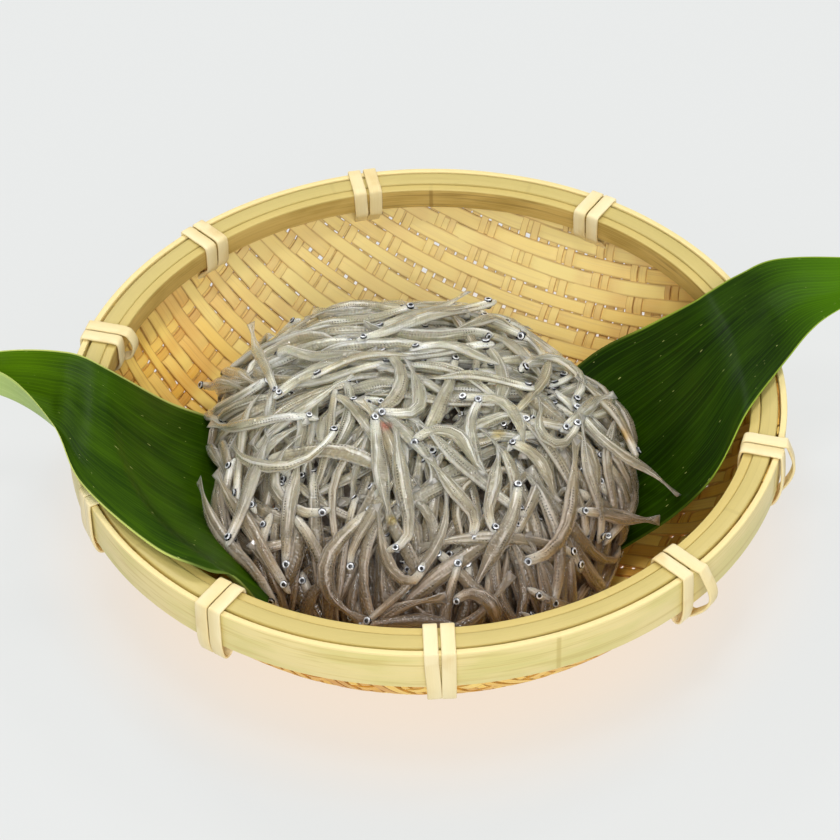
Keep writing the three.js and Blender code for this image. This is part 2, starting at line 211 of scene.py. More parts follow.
def newGeometryTree(name, sizeNames):
    tree = bpy.data.node_groups.new(name, "GeometryNodeTree")
    tree.interface.new_socket("Geometry", in_out="INPUT", socket_type="NodeSocketGeometry")
    for key in sizeNames:
        tree.interface.new_socket(key, in_out="INPUT", socket_type="NodeSocketFloat")
    tree.interface.new_socket("finish", in_out="INPUT", socket_type="NodeSocketMaterial")
    tree.interface.new_socket("Geometry", in_out="OUTPUT", socket_type="NodeSocketGeometry")
    ins = tree.nodes.new("NodeGroupInput")
    size = {key: outOf(ins, key) for key in sizeNames}
    return tree, ins, size


def endTree(tree, ins, geometry):
    realize = addNode(tree, "GeometryNodeRealizeInstances", {"Geometry": geometry})
    painted = addNode(tree, "GeometryNodeSetMaterial", {"Geometry": outOf(realize)})
    tree.links.new(ins.outputs["finish"], painted.inputs["Material"])
    outs = tree.nodes.new("NodeGroupOutput")
    tree.links.new(painted.outputs[0], outs.inputs[0])


def growPiece(name, tree, settings, finish, start=None, sharpAngle=None):
    # runs a node tree, keeps the result as a plain mesh and takes the modifier off again
    holder = bpy.data.objects.new(name + "Start", start or bpy.data.meshes.new(name + "Start"))
    scene.collection.objects.link(holder)
    modifier = holder.modifiers.new("grow", "NODES")
    modifier.node_group = tree
    for item in tree.interface.items_tree:
        if item.item_type == "SOCKET" and item.in_out == "INPUT":
            if item.name == "finish":
                modifier[item.identifier] = finish
            elif item.name in settings:
                modifier[item.identifier] = float(settings[item.name])
    depsgraph = bpy.context.evaluated_depsgraph_get()
    grown = holder.evaluated_get(depsgraph)
    mesh = bpy.data.meshes.new_from_object(grown, preserve_all_data_layers=True, depsgraph=depsgraph)
    holder.modifiers.remove(modifier)
    bpy.data.objects.remove(holder)
    mesh.name = name
    mesh.transform(Matrix.Scale(mm, 4))
    faceOutwards(mesh, sharpAngle)
    piece = bpy.data.objects.new(name, mesh)
    scene.collection.objects.link(piece)
    return piece


def settle(piece, slot, *nodes):
    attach(piece, "root")
    if nodes:
        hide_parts(*nodes)
    faces = sum(len(p.vertices) - 2 for p in piece.data.polygons)
    print(piece.name, "is in,", faces, "triangles")


def smoothShare(x, low, high):
    t = np.clip((x - low) / (high - low), 0, 1)
    return t * t * (3 - 2 * t)


# basket: the wall follows one curve from the middle to the lip

bowl = {
    "radius": 118.0,
    "base": 1.5,
    "rise": 46.5,
    "power": 6.0,
    "halfWall": 1.5,
    "lip": 9.0,  # upright part held between the hoops
}


def bowlTop(r):
    r = np.minimum(r, bowl["radius"])
    share = r / bowl["radius"]
    slope = bowl["power"] * bowl["rise"] / bowl["radius"] * share ** (bowl["power"] - 1)
    return bowl["base"] + bowl["rise"] * share ** bowl["power"] + bowl["halfWall"] * np.hypot(1, slope)


def matReach():
    # length of the wall's curve from the middle to the top of the lip
    r = np.linspace(0, bowl["radius"], 2000)
    z = bowl["rise"] * (r / bowl["radius"]) ** bowl["power"]
    return float(np.hypot(np.diff(r), np.diff(z)).sum()) + bowl["lip"]


weave = {
    "weftCount": 49,
    "weftPitch": 5.6,
    "weftWidth": 5.45,
    "warpCount": 64,
    "warpPitch": 4.25,
    "warpWidth": 3.55,
    "narrowest": 0.6,  # share of that width
    "widthRange": 0.44,
    "thickness": 0.8,
    "crown": 0.14,  # how far a strip's middle stands above its edges
    "wave": 0.56,  # how far a strip rises over and dips under the others
    "period": 34.0,  # eight warps: over six, under two
    "rowStep": 0.5,
    "aside": 0.5,  # how unevenly the strips are spaced
    "wander": 2.2,  # how far a strip strays from its line
    "unevenEnds": 1.5,
    "pressedFrom": 13.0,  # the hoops press the weave flat between these distances from its edge
    "pressedTo": 7.0,
    "turn": -28.0,
    "seed": 4.0,
    "stepsAlong": 150,
    "wallSteps": 260,
    # pale, straw and tan strips
    "weftPaints": ((255, 222, 120), (252, 202, 80), (224, 148, 38)),
    "warpPaints": ((252, 208, 98), (236, 178, 60), (204, 126, 30)),
}


def strawFinish(name, pale, straw, tan):
    material, tree, shader = newFinish(name, Roughness=0.45, Specular_IOR_Level=0.22)
    along, across, _ = splitXyz(readUv(tree, "stripUv"))
    tone = readAttribute(tree, "tone")
    edge = readAttribute(tree, "edge")
    fibre = noiseOf(joinXyz(tree, along * 0.05, across * 4.2, tone * 61), 1.0, 4.0, 0.65)
    streak = noiseOf(joinXyz(tree, along * 0.02, across * 1.1, tone * 83), 1.0, 2.0)
    patch = noiseOf(joinXyz(tree, along * 0.045, tone * 47, tone * 19), 1.0, 1.0)
    colour = mixColours(between(tone, 0.1, 0.9), straw, pale)
    colour = mixColours(between(patch, 0.45, 0.7) * 0.65, colour, tan)
    colour = mixColours(between(streak, 0.52, 0.75) * 0.35, colour, paint(186, 112, 32))
    colour = mixColours(between(fibre, 0.35, 0.75) * 0.3, colour, paint(255, 226, 150))
    _, y, _ = splitXyz(objectPoint(tree))
    # painted light: the strips are paler towards the back, where the wall faces the front lamp
    colour = mixColours(between(y, 0.045, 0.1) * 0.6, colour, paint(255, 242, 176))
    # darker along each strip's side edges: painted shade in the gaps between the strips, with the reddish
    # brown of their cut edges
    colour = mixColours(between(edge, 0.72, 1.0) * 0.45, colour, paint(150, 80, 22))
    tree.links.new(colour.socket, shader.inputs["Base Color"])
    addBump(tree, shader, fibre * 0.7 + streak * 0.3, 0.35, 0.00025)
    return material


def matTree():
    names = [
        "stripCount", "stripPitch", "stripWidth", "thickness", "crossing", "turn", "reach", "wave",
        "period", "rowPitch", "rowStep", "bowlRadius", "bowlBase", "bowlRise", "bowlPower", "lip", "seed",
    ]
    tree, ins, size = newGeometryTree("wovenMat", names)
    index = outOf(tree.nodes.new("GeometryNodeInputIndex"))
    line = addNode(tree, "GeometryNodeMeshLine", {"Count": size["stripCount"]}, mode="OFFSET")
    number = index - (size["stripCount"] - 1) * 0.5
    numbered = addNode(
        tree, "GeometryNodeStoreNamedAttribute",
        {"Geometry": outOf(line), "Name": "strip", "Value": number}, data_type="FLOAT", domain="POINT",
    )
    block = addNode(
        tree, "GeometryNodeMeshCube",
        {"Size": (1, 1, 1), "Vertices X": weave["stepsAlong"] + 1, "Vertices Y": 3, "Vertices Z": 2},
    )
    position = outOf(tree.nodes.new("GeometryNodeInputPosition"))
    unitBlock = addNode(
        tree, "GeometryNodeStoreNamedAttribute",
        {"Geometry": outOf(block), "Name": "unit"}, data_type="FLOAT_VECTOR", domain="POINT",
    )
    tree.links.new(position.socket, unitBlock.inputs["Value"])
    strips = addNode(
        tree, "GeometryNodeInstanceOnPoints", {"Points": outOf(numbered), "Instance": outOf(unitBlock)},
    )
    plain = addNode(tree, "GeometryNodeRealizeInstances", {"Geometry": outOf(strips)})

    strip = outOf(addNode(tree, "GeometryNodeInputNamedAttribute", {"Name": "strip"}, data_type="FLOAT"))
    inBlock = addNode(tree, "GeometryNodeInputNamedAttribute", {"Name": "unit"}, data_type="FLOAT_VECTOR")
    unitX, unitY, unitZ = splitXyz(outOf(inBlock))
    seed = size["seed"]
    crossing = size["crossing"]

    def blend(share, first, second):
        return first + (second - first) * share

    # the strip in the flat mat
    middle = strip * size["stripPitch"]
    widthShare = randomOf(strip, seed).math("POWER", 0.35) * weave["widthRange"] + weave["narrowest"]
    aside = (randomOf(strip, seed + 3.7) - 0.5) * weave["aside"]
    straight = middle + aside + unitY * (size["stripWidth"] * widthShare)
    cut = size["reach"] - randomOf(strip, seed + 9.1) * weave["unevenEnds"]
    halfLength = (cut * cut - straight * straight).math("MAXIMUM", 4.0).math("SQRT")
    along = unitX * 2.0 * halfLength
    wander = noiseOf(joinXyz(tree, along * 0.014, strip * 3.7, seed), 1.0, 1.0) - 0.5
    across = straight + wander * weave["wander"]

    # over six, under two
    warpWise = blend(crossing, along, middle)
    rowWise = blend(crossing, middle, along)
    rowAt = rowWise / size["rowPitch"]
    rowLow = (rowAt + 0.001).math("FLOOR")
    step = between(rowAt - rowLow, 0.12, 0.88)

    def cover(row):
        # 1 where the weft passes over and -1 where it passes under, with short slopes between
        turns = warpWise / size["period"] + row * size["rowStep"]
        return ((0.707 - (turns * (2 * pi)).math("COSINE")) * 5.0).math("TANH")

    level = blend(step, cover(rowLow), cover(rowLow + 1.0)) * (1.0 - crossing * 2.0)
    outward = (along * along + across * across).math("SQRT")
    pressed = between(outward, size["reach"] - weave["pressedFrom"], size["reach"] - weave["pressedTo"])
    crown = (1.0 - unitY * unitY * 4.0) * (unitZ + 0.5) * weave["crown"]
    rise = level * size["wave"] * (1.0 - pressed * 0.7)
    rise = rise + unitZ * size["thickness"] * (1.0 - pressed * 0.4) + crown

    # the flat mat bent up into the bowl
    share = outOf(addNode(tree, "GeometryNodeSplineParameter"), "Factor")
    run = share * (size["bowlRadius"] + size["lip"])
    wallR = run.math("MINIMUM", size["bowlRadius"])
    wallShare = (wallR / size["bowlRadius"]).math("POWER", size["bowlPower"])
    wallZ = size["bowlBase"] + size["bowlRise"] * wallShare
    wallZ = wallZ + (run - size["bowlRadius"]).math("MAXIMUM", 0.0)
    profile = addNode(tree, "GeometryNodeCurvePrimitiveLine")
    profile = addNode(
        tree, "GeometryNodeResampleCurve", {"Curve": outOf(profile), "Count": weave["wallSteps"]},
    )
    profile = addNode(
        tree, "GeometryNodeSetPosition",
        {"Geometry": outOf(profile), "Position": joinXyz(tree, wallR, 0.0, wallZ)},
    )
    sample = addNode(
        tree, "GeometryNodeSampleCurve", {"Curves": outOf(profile), "Length": outward}, mode="LENGTH",
    )
    atR, _, atZ = splitXyz(outOf(sample, "Position"))
    leanR, _, leanZ = splitXyz(outOf(sample, "Tangent"))
    flatX = blend(crossing, along, across)
    flatY = blend(crossing, across, along)
    angle = mathNode(tree, "ARCTAN2", flatY, flatX) + size["turn"]
    finalR = atR - leanZ * rise
    place = joinXyz(tree, finalR * angle.math("COSINE"), finalR * angle.math("SINE"), atZ + leanR * rise)
    kept = outOf(addNode(tree, "GeometryNodeSetPosition", {"Geometry": outOf(plain), "Position": place}))
    kept = outOf(addNode(
        tree, "GeometryNodeStoreNamedAttribute",
        {"Geometry": kept, "Name": "stripUv", "Value": joinXyz(tree, along, across, 0.0)},
        data_type="FLOAT2", domain="CORNER",
    ))
    for name, value in (("tone", randomOf(strip, seed + 21.3)), ("edge", (unitY * 2.0).math("ABSOLUTE"))):
        kept = outOf(addNode(
            tree, "GeometryNodeStoreNamedAttribute",
            {"Geometry": kept, "Name": name, "Value": value}, data_type="FLOAT", domain="POINT",
        ))
    endTree(tree, ins, kept)
    return tree


def buildWeave():
    tree = matTree()
    shared = {
        "thickness": weave["thickness"],
        "turn": radians(weave["turn"]),
        "reach": matReach() - 1.0,
        "wave": weave["wave"],
        "period": weave["period"],
        "rowPitch": weave["weftPitch"],
        "rowStep": weave["rowStep"],
        "bowlRadius": bowl["radius"],
        "bowlBase": bowl["base"],
        "bowlRise": bowl["rise"],
        "bowlPower": bowl["power"],
        "lip": bowl["lip"],
    }
    for name, kind, crossing in (("weaveWeft", "weft", 0), ("weaveWarp", "warp", 1)):
        settings = dict(
            shared,
            stripCount=weave[kind + "Count"],
            stripPitch=weave[kind + "Pitch"],
            stripWidth=weave[kind + "Width"],
            crossing=crossing,
            seed=weave["seed"] + 13 * crossing,
        )
        finish = strawFinish(name + "Straw", *[paint(*colour) for colour in weave[kind + "Paints"]])
        piece = growPiece(name, tree, settings, finish, sharpAngle=35)
        settle(piece, "bamboo_weave", "basket_weave")


# rim: a thick hoop with a thin strip inside and a wide one outside

# skin, second skin colour, grain and cut edge are the paints, the cut edge's paint partly a painted
# highlight along the outer strip's edges, and knots are the angles of the joints
hoops = {
    "hoopThick": {
        "node": "rim_thick_hoop",
        "sizes": {
            "innerRadius": 112.0, "outerRadius": 117.6, "low": 49.8, "high": 58.0, "corner": 0.6, "seed": 1,
        },
        "paints": ((208, 186, 112), (190, 172, 94), (136, 110, 46), (200, 182, 114)),
        "knots": (106, 70, -32, -143, 171),
    },
    "hoopInner": {
        "node": "rim_inner_strip",
        "sizes": {
            "innerRadius": 108.6, "outerRadius": 111.9, "low": 49.6, "high": 57.6, "corner": 0.5, "seed": 2,
        },
        "paints": ((204, 170, 94), (176, 144, 70), (128, 96, 40), (208, 188, 114)),
        "knots": (88, 12, -60, -112),
    },
    "hoopOuter": {
        "node": "rim_outer_strip",
        "sizes": {
            "innerRadius": 118.5, "outerRadius": 120.6, "low": 43.3, "high": 57.9, "corner": 0.35, "seed": 3,
        },
        "paints": ((230, 212, 150), (216, 204, 132), (190, 166, 90), (240, 220, 158)),
        "knots": (-71, -20, 40, 140),
    },
}
hoopWobble = 0.5  # how far the hoops stray from a true ring
hoopSides = 288
hoopCorner = 50  # angle in degrees past which an edge is sharp


def hoopFinish(name, knots, pale, green, brown, cutEdgeAndHighlight):
    # the cut upper and lower edges have a colour of their own, partly the cut cane's colour and partly a
    # painted highlight along the outer strip's edges
    material, tree, shader = newFinish(name, Roughness=0.4, Specular_IOR_Level=0.3)
    x, y, z = splitXyz(objectPoint(tree))
    r = (x * x + y * y).math("SQRT")
    fibre = noiseOf(joinXyz(tree, r * 2600, z * 2600, x * 14 + y * 9), 1.0, 3.0, 0.6)
    grain = noiseOf(joinXyz(tree, r * 700, z * 700, x * 22 - y * 17), 1.0, 3.0, 0.6)
    cloud = noiseOf(joinXyz(tree, x * 38, y * 38, z * 120), 1.0, 3.0)
    colour = mixColours(between(cloud, 0.35, 0.65), pale, green)
    colour = mixColours(between(grain, 0.5, 0.72) * 0.6, colour, brown)
    colour = mixColours(between(fibre, 0.35, 0.7) * 0.25, colour, paint(240, 218, 142))
    turn = mathNode(tree, "ARCTAN2", y, x)
    for angle in knots:
        line = between((turn - radians(angle)).math("ABSOLUTE"), 0.003, 0.009, bottom=1.0, top=0.0)
        colour = mixColours(line * 0.5, colour, brown)
    # the cut faces lie above 57 mm and below 44 mm
    flat = between(z, 0.057, 0.0574) + between(z, 0.0434, 0.0438, bottom=1.0, top=0.0)
    colour = mixColours(flat * 0.8, colour, cutEdgeAndHighlight)
    tree.links.new(colour.socket, shader.inputs["Base Color"])
    addBump(tree, shader, fibre * 0.5 + grain * 0.5, 0.4, 0.0003)
    return material


def hoopTree():
    names = ["innerRadius", "outerRadius", "low", "high", "corner", "wobble", "seed"]
    tree, ins, size = newGeometryTree("rimHoop", names)
    radius = (size["innerRadius"] + size["outerRadius"]) * 0.5
    circle = addNode(
        tree, "GeometryNodeCurvePrimitiveCircle", {"Resolution": hoopSides, "Radius": radius}, mode="RADIUS",
    )
    x, y, _ = splitXyz(outOf(tree.nodes.new("GeometryNodeInputPosition")))
    drift = noiseOf(joinXyz(tree, x * 0.016, y * 0.016, size["seed"] * 5.3), 1.0, 1.0) - 0.5
    drift = drift * size["wobble"]
    lift = noiseOf(joinXyz(tree, x * 0.02, y * 0.02, size["seed"] * 9.7), 1.0, 2.0) - 0.5
    lift = lift * size["wobble"] * 1.6
    offset = joinXyz(tree, x / radius * drift, y / radius * drift, lift + (size["low"] + size["high"]) * 0.5)
    ring = addNode(tree, "GeometryNodeSetPosition", {"Geometry": outOf(circle), "Offset": offset})
    ring = addNode(tree, "GeometryNodeSetCurveNormal", {"Curve": outOf(ring)}, mode="Z_UP")
    section = addNode(
        tree, "GeometryNodeCurvePrimitiveQuadrilateral",
        {"Width": size["outerRadius"] - size["innerRadius"], "Height": size["high"] - size["low"]},
    )
    section = addNode(
        tree, "GeometryNodeFilletCurve",
        {"Curve": outOf(section), "Count": 3, "Radius": size["corner"]}, mode="POLY",
    )
    swept = addNode(
        tree, "GeometryNodeCurveToMesh", {"Curve": outOf(ring), "Profile Curve": outOf(section)},
    )
    endTree(tree, ins, outOf(swept))
    return tree


def buildHoops():
    tree = hoopTree()
    for name, hoop in hoops.items():
        finish = hoopFinish(name + "Bamboo", hoop["knots"], *[paint(*colour) for colour in hoop["paints"]])
        piece = growPiece(name, tree, dict(hoop["sizes"], wobble=hoopWobble), finish, sharpAngle=hoopCorner)
        settle(piece, "bamboo_hoop", hoop["node"])


# ties: ten pairs of split cane bands round the rim

ties = {
    "angles": [100, 57, 20, -15.8, -46.8, -88.8, -125.2, -156.7, 163.3, 132.4],
    "width": 4.6,
    "thickness": 0.9,
    "corner": 0.4,
    "spread": 2.5,  # half the distance between the two bands of a pair
    "splay": 0.25,
    "steps": 72,
    "seed": 11,
}
# middle line of a band, round the rim and back through the mat, as radius and height
bandRoute = [
    (114.0, 58.7), (120.0, 58.6), (121.2, 57.6), (121.3, 50.0), (121.2, 43.0), (119.8, 37.6), (117.0, 37.0),
    (114.0, 41.6), (110.9, 45.6), (108.0, 48.6), (107.7, 53.0), (107.8, 57.2), (109.0, 58.7),
]
# bands that bulge away from the rim, by pair and side: how far outward and how far inward
looseBands = {
    (4, 1): (4.6, 0.3), (3, 1): (3.2, 0.4), (3, -1): (0.8, 0.2), (8, -1): (0.4, 3.2), (2, 1): (0.6, 0.4),
}


def onSpline(a, b, c, d, w):
    # from b to c as w goes from 0 to 1, on the smooth curve through a, b, c and d
    bend = (2 * a - 5 * b + 4 * c - d) * w ** 2
    return 0.5 * (2 * b + (c - a) * w + bend + (3 * b - a - 3 * c + d) * w ** 3)


def closedCurve(points, count):
    points = np.asarray(points, float)
    n = len(points)
    t = np.arange(count) * n / count
    i = np.floor(t).astype(int)
    return onSpline(*(points[(i + k) % n] for k in (-1, 0, 1, 2)), (t - i)[:, None])


def bandFinish():
    material, tree, shader = newFinish("caneBand", Roughness=0.42, Specular_IOR_Level=0.25)
    point = objectPoint(tree)
    across = readAttribute(tree, "across")
    tone = readAttribute(tree, "tone")
    length = readAttribute(tree, "along")
    fibre = noiseOf(joinXyz(tree, length * 3.0, across * 5.5, tone * 37), 1.0, 3.0, 0.6)
    cloud = noiseOf(point, 90.0, 2.0)
    colour = mixColours(between(tone, 0.0, 1.0), paint(242, 226, 180), paint(234, 214, 158))
    colour = mixColours(between(cloud, 0.5, 0.75) * 0.5, colour, paint(214, 180, 108))
    colour = mixColours(between(fibre, 0.5, 0.72) * 0.4, colour, paint(250, 236, 190))
    tree.links.new(colour.socket, shader.inputs["Base Color"])
    addBump(tree, shader, fibre, 0.3, 0.0002)
    return material


def bandTree():
    tree, ins, size = newGeometryTree("caneBand", ["width", "thickness", "corner"])
    share = outOf(addNode(tree, "GeometryNodeSplineParameter"), "Factor")
    path = addNode(
        tree, "GeometryNodeStoreNamedAttribute", {"Name": "along", "Value": share},
        data_type="FLOAT", domain="POINT",
    )
    tree.links.new(ins.outputs["Geometry"], path.inputs["Geometry"])
    section = addNode(
        tree, "GeometryNodeCurvePrimitiveQuadrilateral",
        {"Width": size["width"], "Height": size["thickness"]},
    )
    section = addNode(
        tree, "GeometryNodeFilletCurve",
        {"Curve": outOf(section), "Count": 2, "Radius": size["corner"]}, mode="POLY",
    )
    section = addNode(tree, "GeometryNodeResampleCurve", {"Curve": outOf(section)}, mode="EVALUATED")
    x, _, _ = splitXyz(outOf(tree.nodes.new("GeometryNodeInputPosition")))
    section = addNode(
        tree, "GeometryNodeStoreNamedAttribute", {"Geometry": outOf(section), "Name": "across", "Value": x},
        data_type="FLOAT", domain="POINT",
    )
    swept = addNode(
        tree, "GeometryNodeCurveToMesh",
        {"Curve": outOf(path), "Profile Curve": outOf(section), "Fill Caps": True},
    )
    endTree(tree, ins, outOf(swept))
    return tree


def bandLine(pair, side, angle, dice):
    # one band's middle line round the rim
    outward = np.array([cos(angle), sin(angle), 0])
    aside = np.array([-sin(angle), cos(angle), 0])
    out, inn = looseBands.get((pair, side), (dice.uniform(0, 0.25), dice.uniform(0, 0.2)))
    slant = dice.uniform(-0.5, 0.5)
    route = closedCurve(bandRoute, ties["steps"])
    r, z = route[:, 0].copy(), route[:, 1].copy()
    outerShare = smoothShare(r, 119.5, 121.2)
    innerShare = smoothShare(-r, -109.5, -107.9) * smoothShare(z, 43, 49)
    belly = np.exp(-((z - 48) / 9) ** 2)
    r += outerShare * belly * out - innerShare * np.exp(-((z - 53) / 6) ** 2) * inn
    high = smoothShare(z, 38, 59)
    t = side * (ties["spread"] + ties["splay"] * (2 * high - 1) * 0.8) + slant * (high - 0.5)
    if out > 2:
        t = t + side * 2.0 * belly * outerShare
    return outward * r[:, None] + aside * t[:, None] + np.array([0, 0, 1]) * z[:, None]


def toneBands(mesh):
    # each band gets a shade of its own from the angle it lies at
    spots = np.zeros(len(mesh.vertices) * 3, np.float32)
    mesh.vertices.foreach_get("co", spots)
    spots = spots.reshape(-1, 3)
    turns = np.degrees(np.arctan2(spots[:, 1], spots[:, 0]))
    shades = np.modf(np.abs(np.floor(turns / 1.3)) * 0.381)[0]
    tone = mesh.attributes.new("tone", "FLOAT", "POINT")
    tone.data.foreach_set("value", shades.astype(np.float32))


def buildTies():
    dice = np.random.default_rng(ties["seed"])
    curve = bpy.data.curves.new("caneBandPaths", "CURVE")
    curve.dimensions = "3D"
    for pair, degrees in enumerate(ties["angles"]):
        for side in (-1, 1):
            points = bandLine(pair, side, radians(degrees), dice)
            spline = curve.splines.new("POLY")
            spline.points.add(len(points) - 1)
            spline.points.foreach_set("co", np.c_[points, np.ones(len(points))].ravel())
            spline.use_cyclic_u = True
    piece = growPiece("caneTies", bandTree(), ties, bandFinish(), start=curve, sharpAngle=50)
    toneBands(piece.data)
    nodes = [f"rim_tie_{i + 1:02d}{letter}" for i in range(len(ties["angles"])) for letter in "ab"]
    settle(piece, "cane", *nodes)


# leaves: each blade lies between two smooth margins, from its outer tip to the end under the heap

leafSizes = {
    "thickness": 0.5,
    "stepsAlong": 190,
    "stepsAcross": 56,
    "lipShare": 0.125,
    "foldPower": 1.4,
    "ripple": 0.5,
    "ribs": 26,
    "relief": 0.015,
    "restHeight": 60.0,  # the leaves lie on the rim at this height between these radii
    "restFrom": 104.8,
    "restTo": 123.2,
    "soft": 1.6,  # how softly they bend there
    "insideRim": 104.0,
    "overMat": 1.2,  # how far they stay above the weave
}
# deep, middle and light green, and the colour of the margin
underPaints = ((140, 168, 84), (160, 186, 102), (192, 210, 136), (180, 200, 112))
leaves = {
    "leafLeft": {
        "node": "leaf_left",
        "paints": ((28, 52, 1), (48, 76, 1), (102, 146, 6), (196, 206, 110)),
        "back": [
            (-166, 10, 64), (-144, 20, 63), (-120, 17, 64.5), (-104, 9.5, 60.5), (-88, 19, 38),
            (-70, 27, 21), (-48, 20, 12),
        ],
        "front": [
            (-165, 8, 66), (-142, 2.5, 69), (-123, -21, 66.5), (-112, -46, 62.5), (-88, -74, 61),
            (-71, -85, 60.5), (-53, -83, 38),
        ],
        "fold": [2, 6, 4, 0, 2, 6, 3],
        "curl": [6, 10, 5, 0.5, 0, 0, 0],  # how far the front margin stands up as a lip
    },
    "leafRight": {
        "node": "leaf_right",
        "paints": ((18, 36, 1), (32, 54, 1), (86, 138, 6), (150, 174, 60)),
        "back": [
            (166, 47, 69), (145, 54, 67), (122, 56, 65.5), (108, 50, 62.8), (95, 42, 59.5), (79, 46, 45),
            (61, 48, 32), (42, 40, 20),
        ],
        "front": [
            (166, 43, 68), (142, 28, 66), (131, 20, 62.8), (119, 3, 61), (107, -16, 60.6), (96, -33, 50),
            (82, -34, 30), (61, -36, 13),
        ],
        "fold": [1, 4, 2.5, 0.5, 0, 1, 5, 4],
        "curl": [0, 0],
    },
}


def openCurve(points, t):
    # smooth curve through the points, t from 0 at the first to 1 at the last
    points = np.asarray(points, float)
    if points.ndim == 1:
        points = points[:, None]
    padded = np.vstack([2 * points[0] - points[1], points, 2 * points[-1] - points[-2]])
    spot = np.clip(t, -0.02, 1.02) * (len(points) - 1)
    i = np.clip(np.floor(spot).astype(int), 0, len(points) - 2)
    return onSpline(*(padded[i + k] for k in range(4)), (spot - i)[..., None])


def leafPoint(leaf, u, v):
    v = np.asarray(v, float)
    p = openCurve(leaf["back"], u) * (1 - v[..., None]) + openCurve(leaf["front"], u) * v[..., None]
    side = 2 * v - 1
    x, y, z = p[..., 0], p[..., 1], p[..., 2]
    z = z - openCurve(leaf["fold"], u)[..., 0] * (1 - np.minimum(1, np.abs(side)) ** leafSizes["foldPower"])
    lip = leafSizes["lipShare"]
    z = z - openCurve(leaf["curl"], u)[..., 0] * np.minimum(v / (1 - lip), (1 - v) / lip)
    z = z + leafSizes["ripple"] * np.sin(9 * u + 2) * np.sin(5 * side) * np.minimum(1, 4 * u)
    r = np.hypot(x, y)
    soft = leafSizes["soft"]
    drop = np.logaddexp(0, leafSizes["restFrom"] - r) + np.logaddexp(0, r - leafSizes["restTo"])
    rest = leafSizes["restHeight"] - 3 * drop
    z = np.maximum(z, rest) + soft * np.log(1 + np.exp(-np.abs(z - rest) / soft))
    z = np.maximum(z, bowlTop(np.minimum(r, leafSizes["insideRim"])) + leafSizes["overMat"])
    return np.stack([x, y, z], -1)


def leafFinish(name, deep, mid, light, under):
    material, tree, shader = newFinish(name, Roughness=0.4, Specular_IOR_Level=0.05)
    u, v, _ = splitXyz(readUv(tree, "blade"))
    wobble = noiseOf(joinXyz(tree, u * 3, v * 6, 0.0), 1.0, 2.0) * 0.02
    ribs = ((v + wobble) * (2 * pi * leafSizes["ribs"])).math("COSINE")
    fine = noiseOf(joinXyz(tree, u * 2.5, v * 150, 3.0), 1.0, 3.0, 0.6)
    cloud = noiseOf(joinXyz(tree, u * 5, v * 7, 8.0), 1.0, 3.0)
    cells = noiseOf(joinXyz(tree, u * 160, v * 260, 5.0), 1.0, 2.0)
    colour = mixColours(between(cloud, 0.35, 0.7), deep, mid)
    # lighter towards the outer tip, where the veins also show more: painted light on the raised ends that
    # face the light
    colour = mixColours(between(u, 0.08, 0.42, bottom=0.55, top=0.0), colour, light)
    outer = between(u, 0.2, 0.45, bottom=1.0, top=0.0)
    colour = mixColours(between(ribs, 0.7, 1.0) * (outer * 0.16 + 0.07), colour, light)
    colour = mixColours(between(fine, 0.46, 0.76) * (outer * 0.2 + 0.2), colour, light)
    flecks = noiseOf(joinXyz(tree, u * 46, v * 90, 11.0), 1.0, 1.0)
    colour = mixColours(between(flecks, 0.76, 0.79) * 0.6, colour, paint(206, 214, 130))
    edge = ((v - 0.5).math("ABSOLUTE")) * 2.0
    edgeShare = between(u, 0.7, 0.82, bottom=0.9, top=0.15)
    colour = mixColours(between(edge, 0.965, 0.99) * edgeShare, colour, under)
    tree.links.new(colour.socket, shader.inputs["Base Color"])
    addBump(tree, shader, ribs * 0.15 + fine * 0.4 + cells * 0.12, 0.2, 0.0003)
    return material


def buildLeaf(name, leaf):
    along, across = leafSizes["stepsAlong"], leafSizes["stepsAcross"]
    u = np.linspace(0, 1, along + 1)[:, None] * np.ones(across + 1)
    v = np.linspace(0, 1, across + 1) * np.ones(along + 1)[:, None]
    middle = leafPoint(leaf, u, v)
    alongStep = np.gradient(middle, axis=0)
    acrossStep = np.gradient(middle, axis=1)
    normal = np.cross(alongStep, acrossStep)
    normal /= np.linalg.norm(normal, axis=-1, keepdims=True) + 1e-9
    normal *= np.sign(normal[..., 2:3].mean())
    relief = leafSizes["relief"] * np.cos(2 * pi * leafSizes["ribs"] * v) * smoothShare(u, 0, 0.15)
    # thinner towards the margins
    half = leafSizes["thickness"] / 2 * np.minimum(1, 0.35 + 8 * np.minimum(v, 1 - v))[..., None]
    top = middle + normal * (half + relief[..., None])
    bottom = middle - normal * (half - relief[..., None])
    rows, cols = along + 1, across + 1
    points = np.concatenate([top.reshape(-1, 3), bottom.reshape(-1, 3)])
    i, j = np.meshgrid(np.arange(along), np.arange(across), indexing="ij")
    a = (i * cols + j).ravel()
    topFaces = np.stack([a, a + cols, a + cols + 1, a + 1], -1)
    bottomFaces = topFaces[:, ::-1] + rows * cols
    ring = np.concatenate([
        np.arange(cols), np.arange(1, rows) * cols + across,
        (rows - 1) * cols + np.arange(across - 1, -1, -1), np.arange(rows - 2, 0, -1) * cols,
    ])
    after = np.roll(ring, -1)
    rimFaces = np.stack([ring, after, after + rows * cols, ring + rows * cols], -1)
    uv = np.stack([u, v], -1).reshape(-1, 2)
    uv = np.concatenate([uv, uv])
    faceSets = [topFaces, bottomFaces, rimFaces]
    finishes = [
        leafFinish(name + "Top", *[paint(*colour) for colour in leaf["paints"]]),
        leafFinish(name + "Under", *[paint(*colour) for colour in underPaints]),
    ]
    paintSets = [np.zeros(len(topFaces)), np.ones(len(bottomFaces)), np.zeros(len(rimFaces))]
    piece = meshPiece(
        name, points, faceSets, finishes, [uv[faces] for faces in faceSets], "blade", paintSets=paintSets,
    )
    faceOutwards(piece.data)
    settle(piece, "leaf", leaf["node"])


# the heap's skin, in millimetres: points on it have level 0

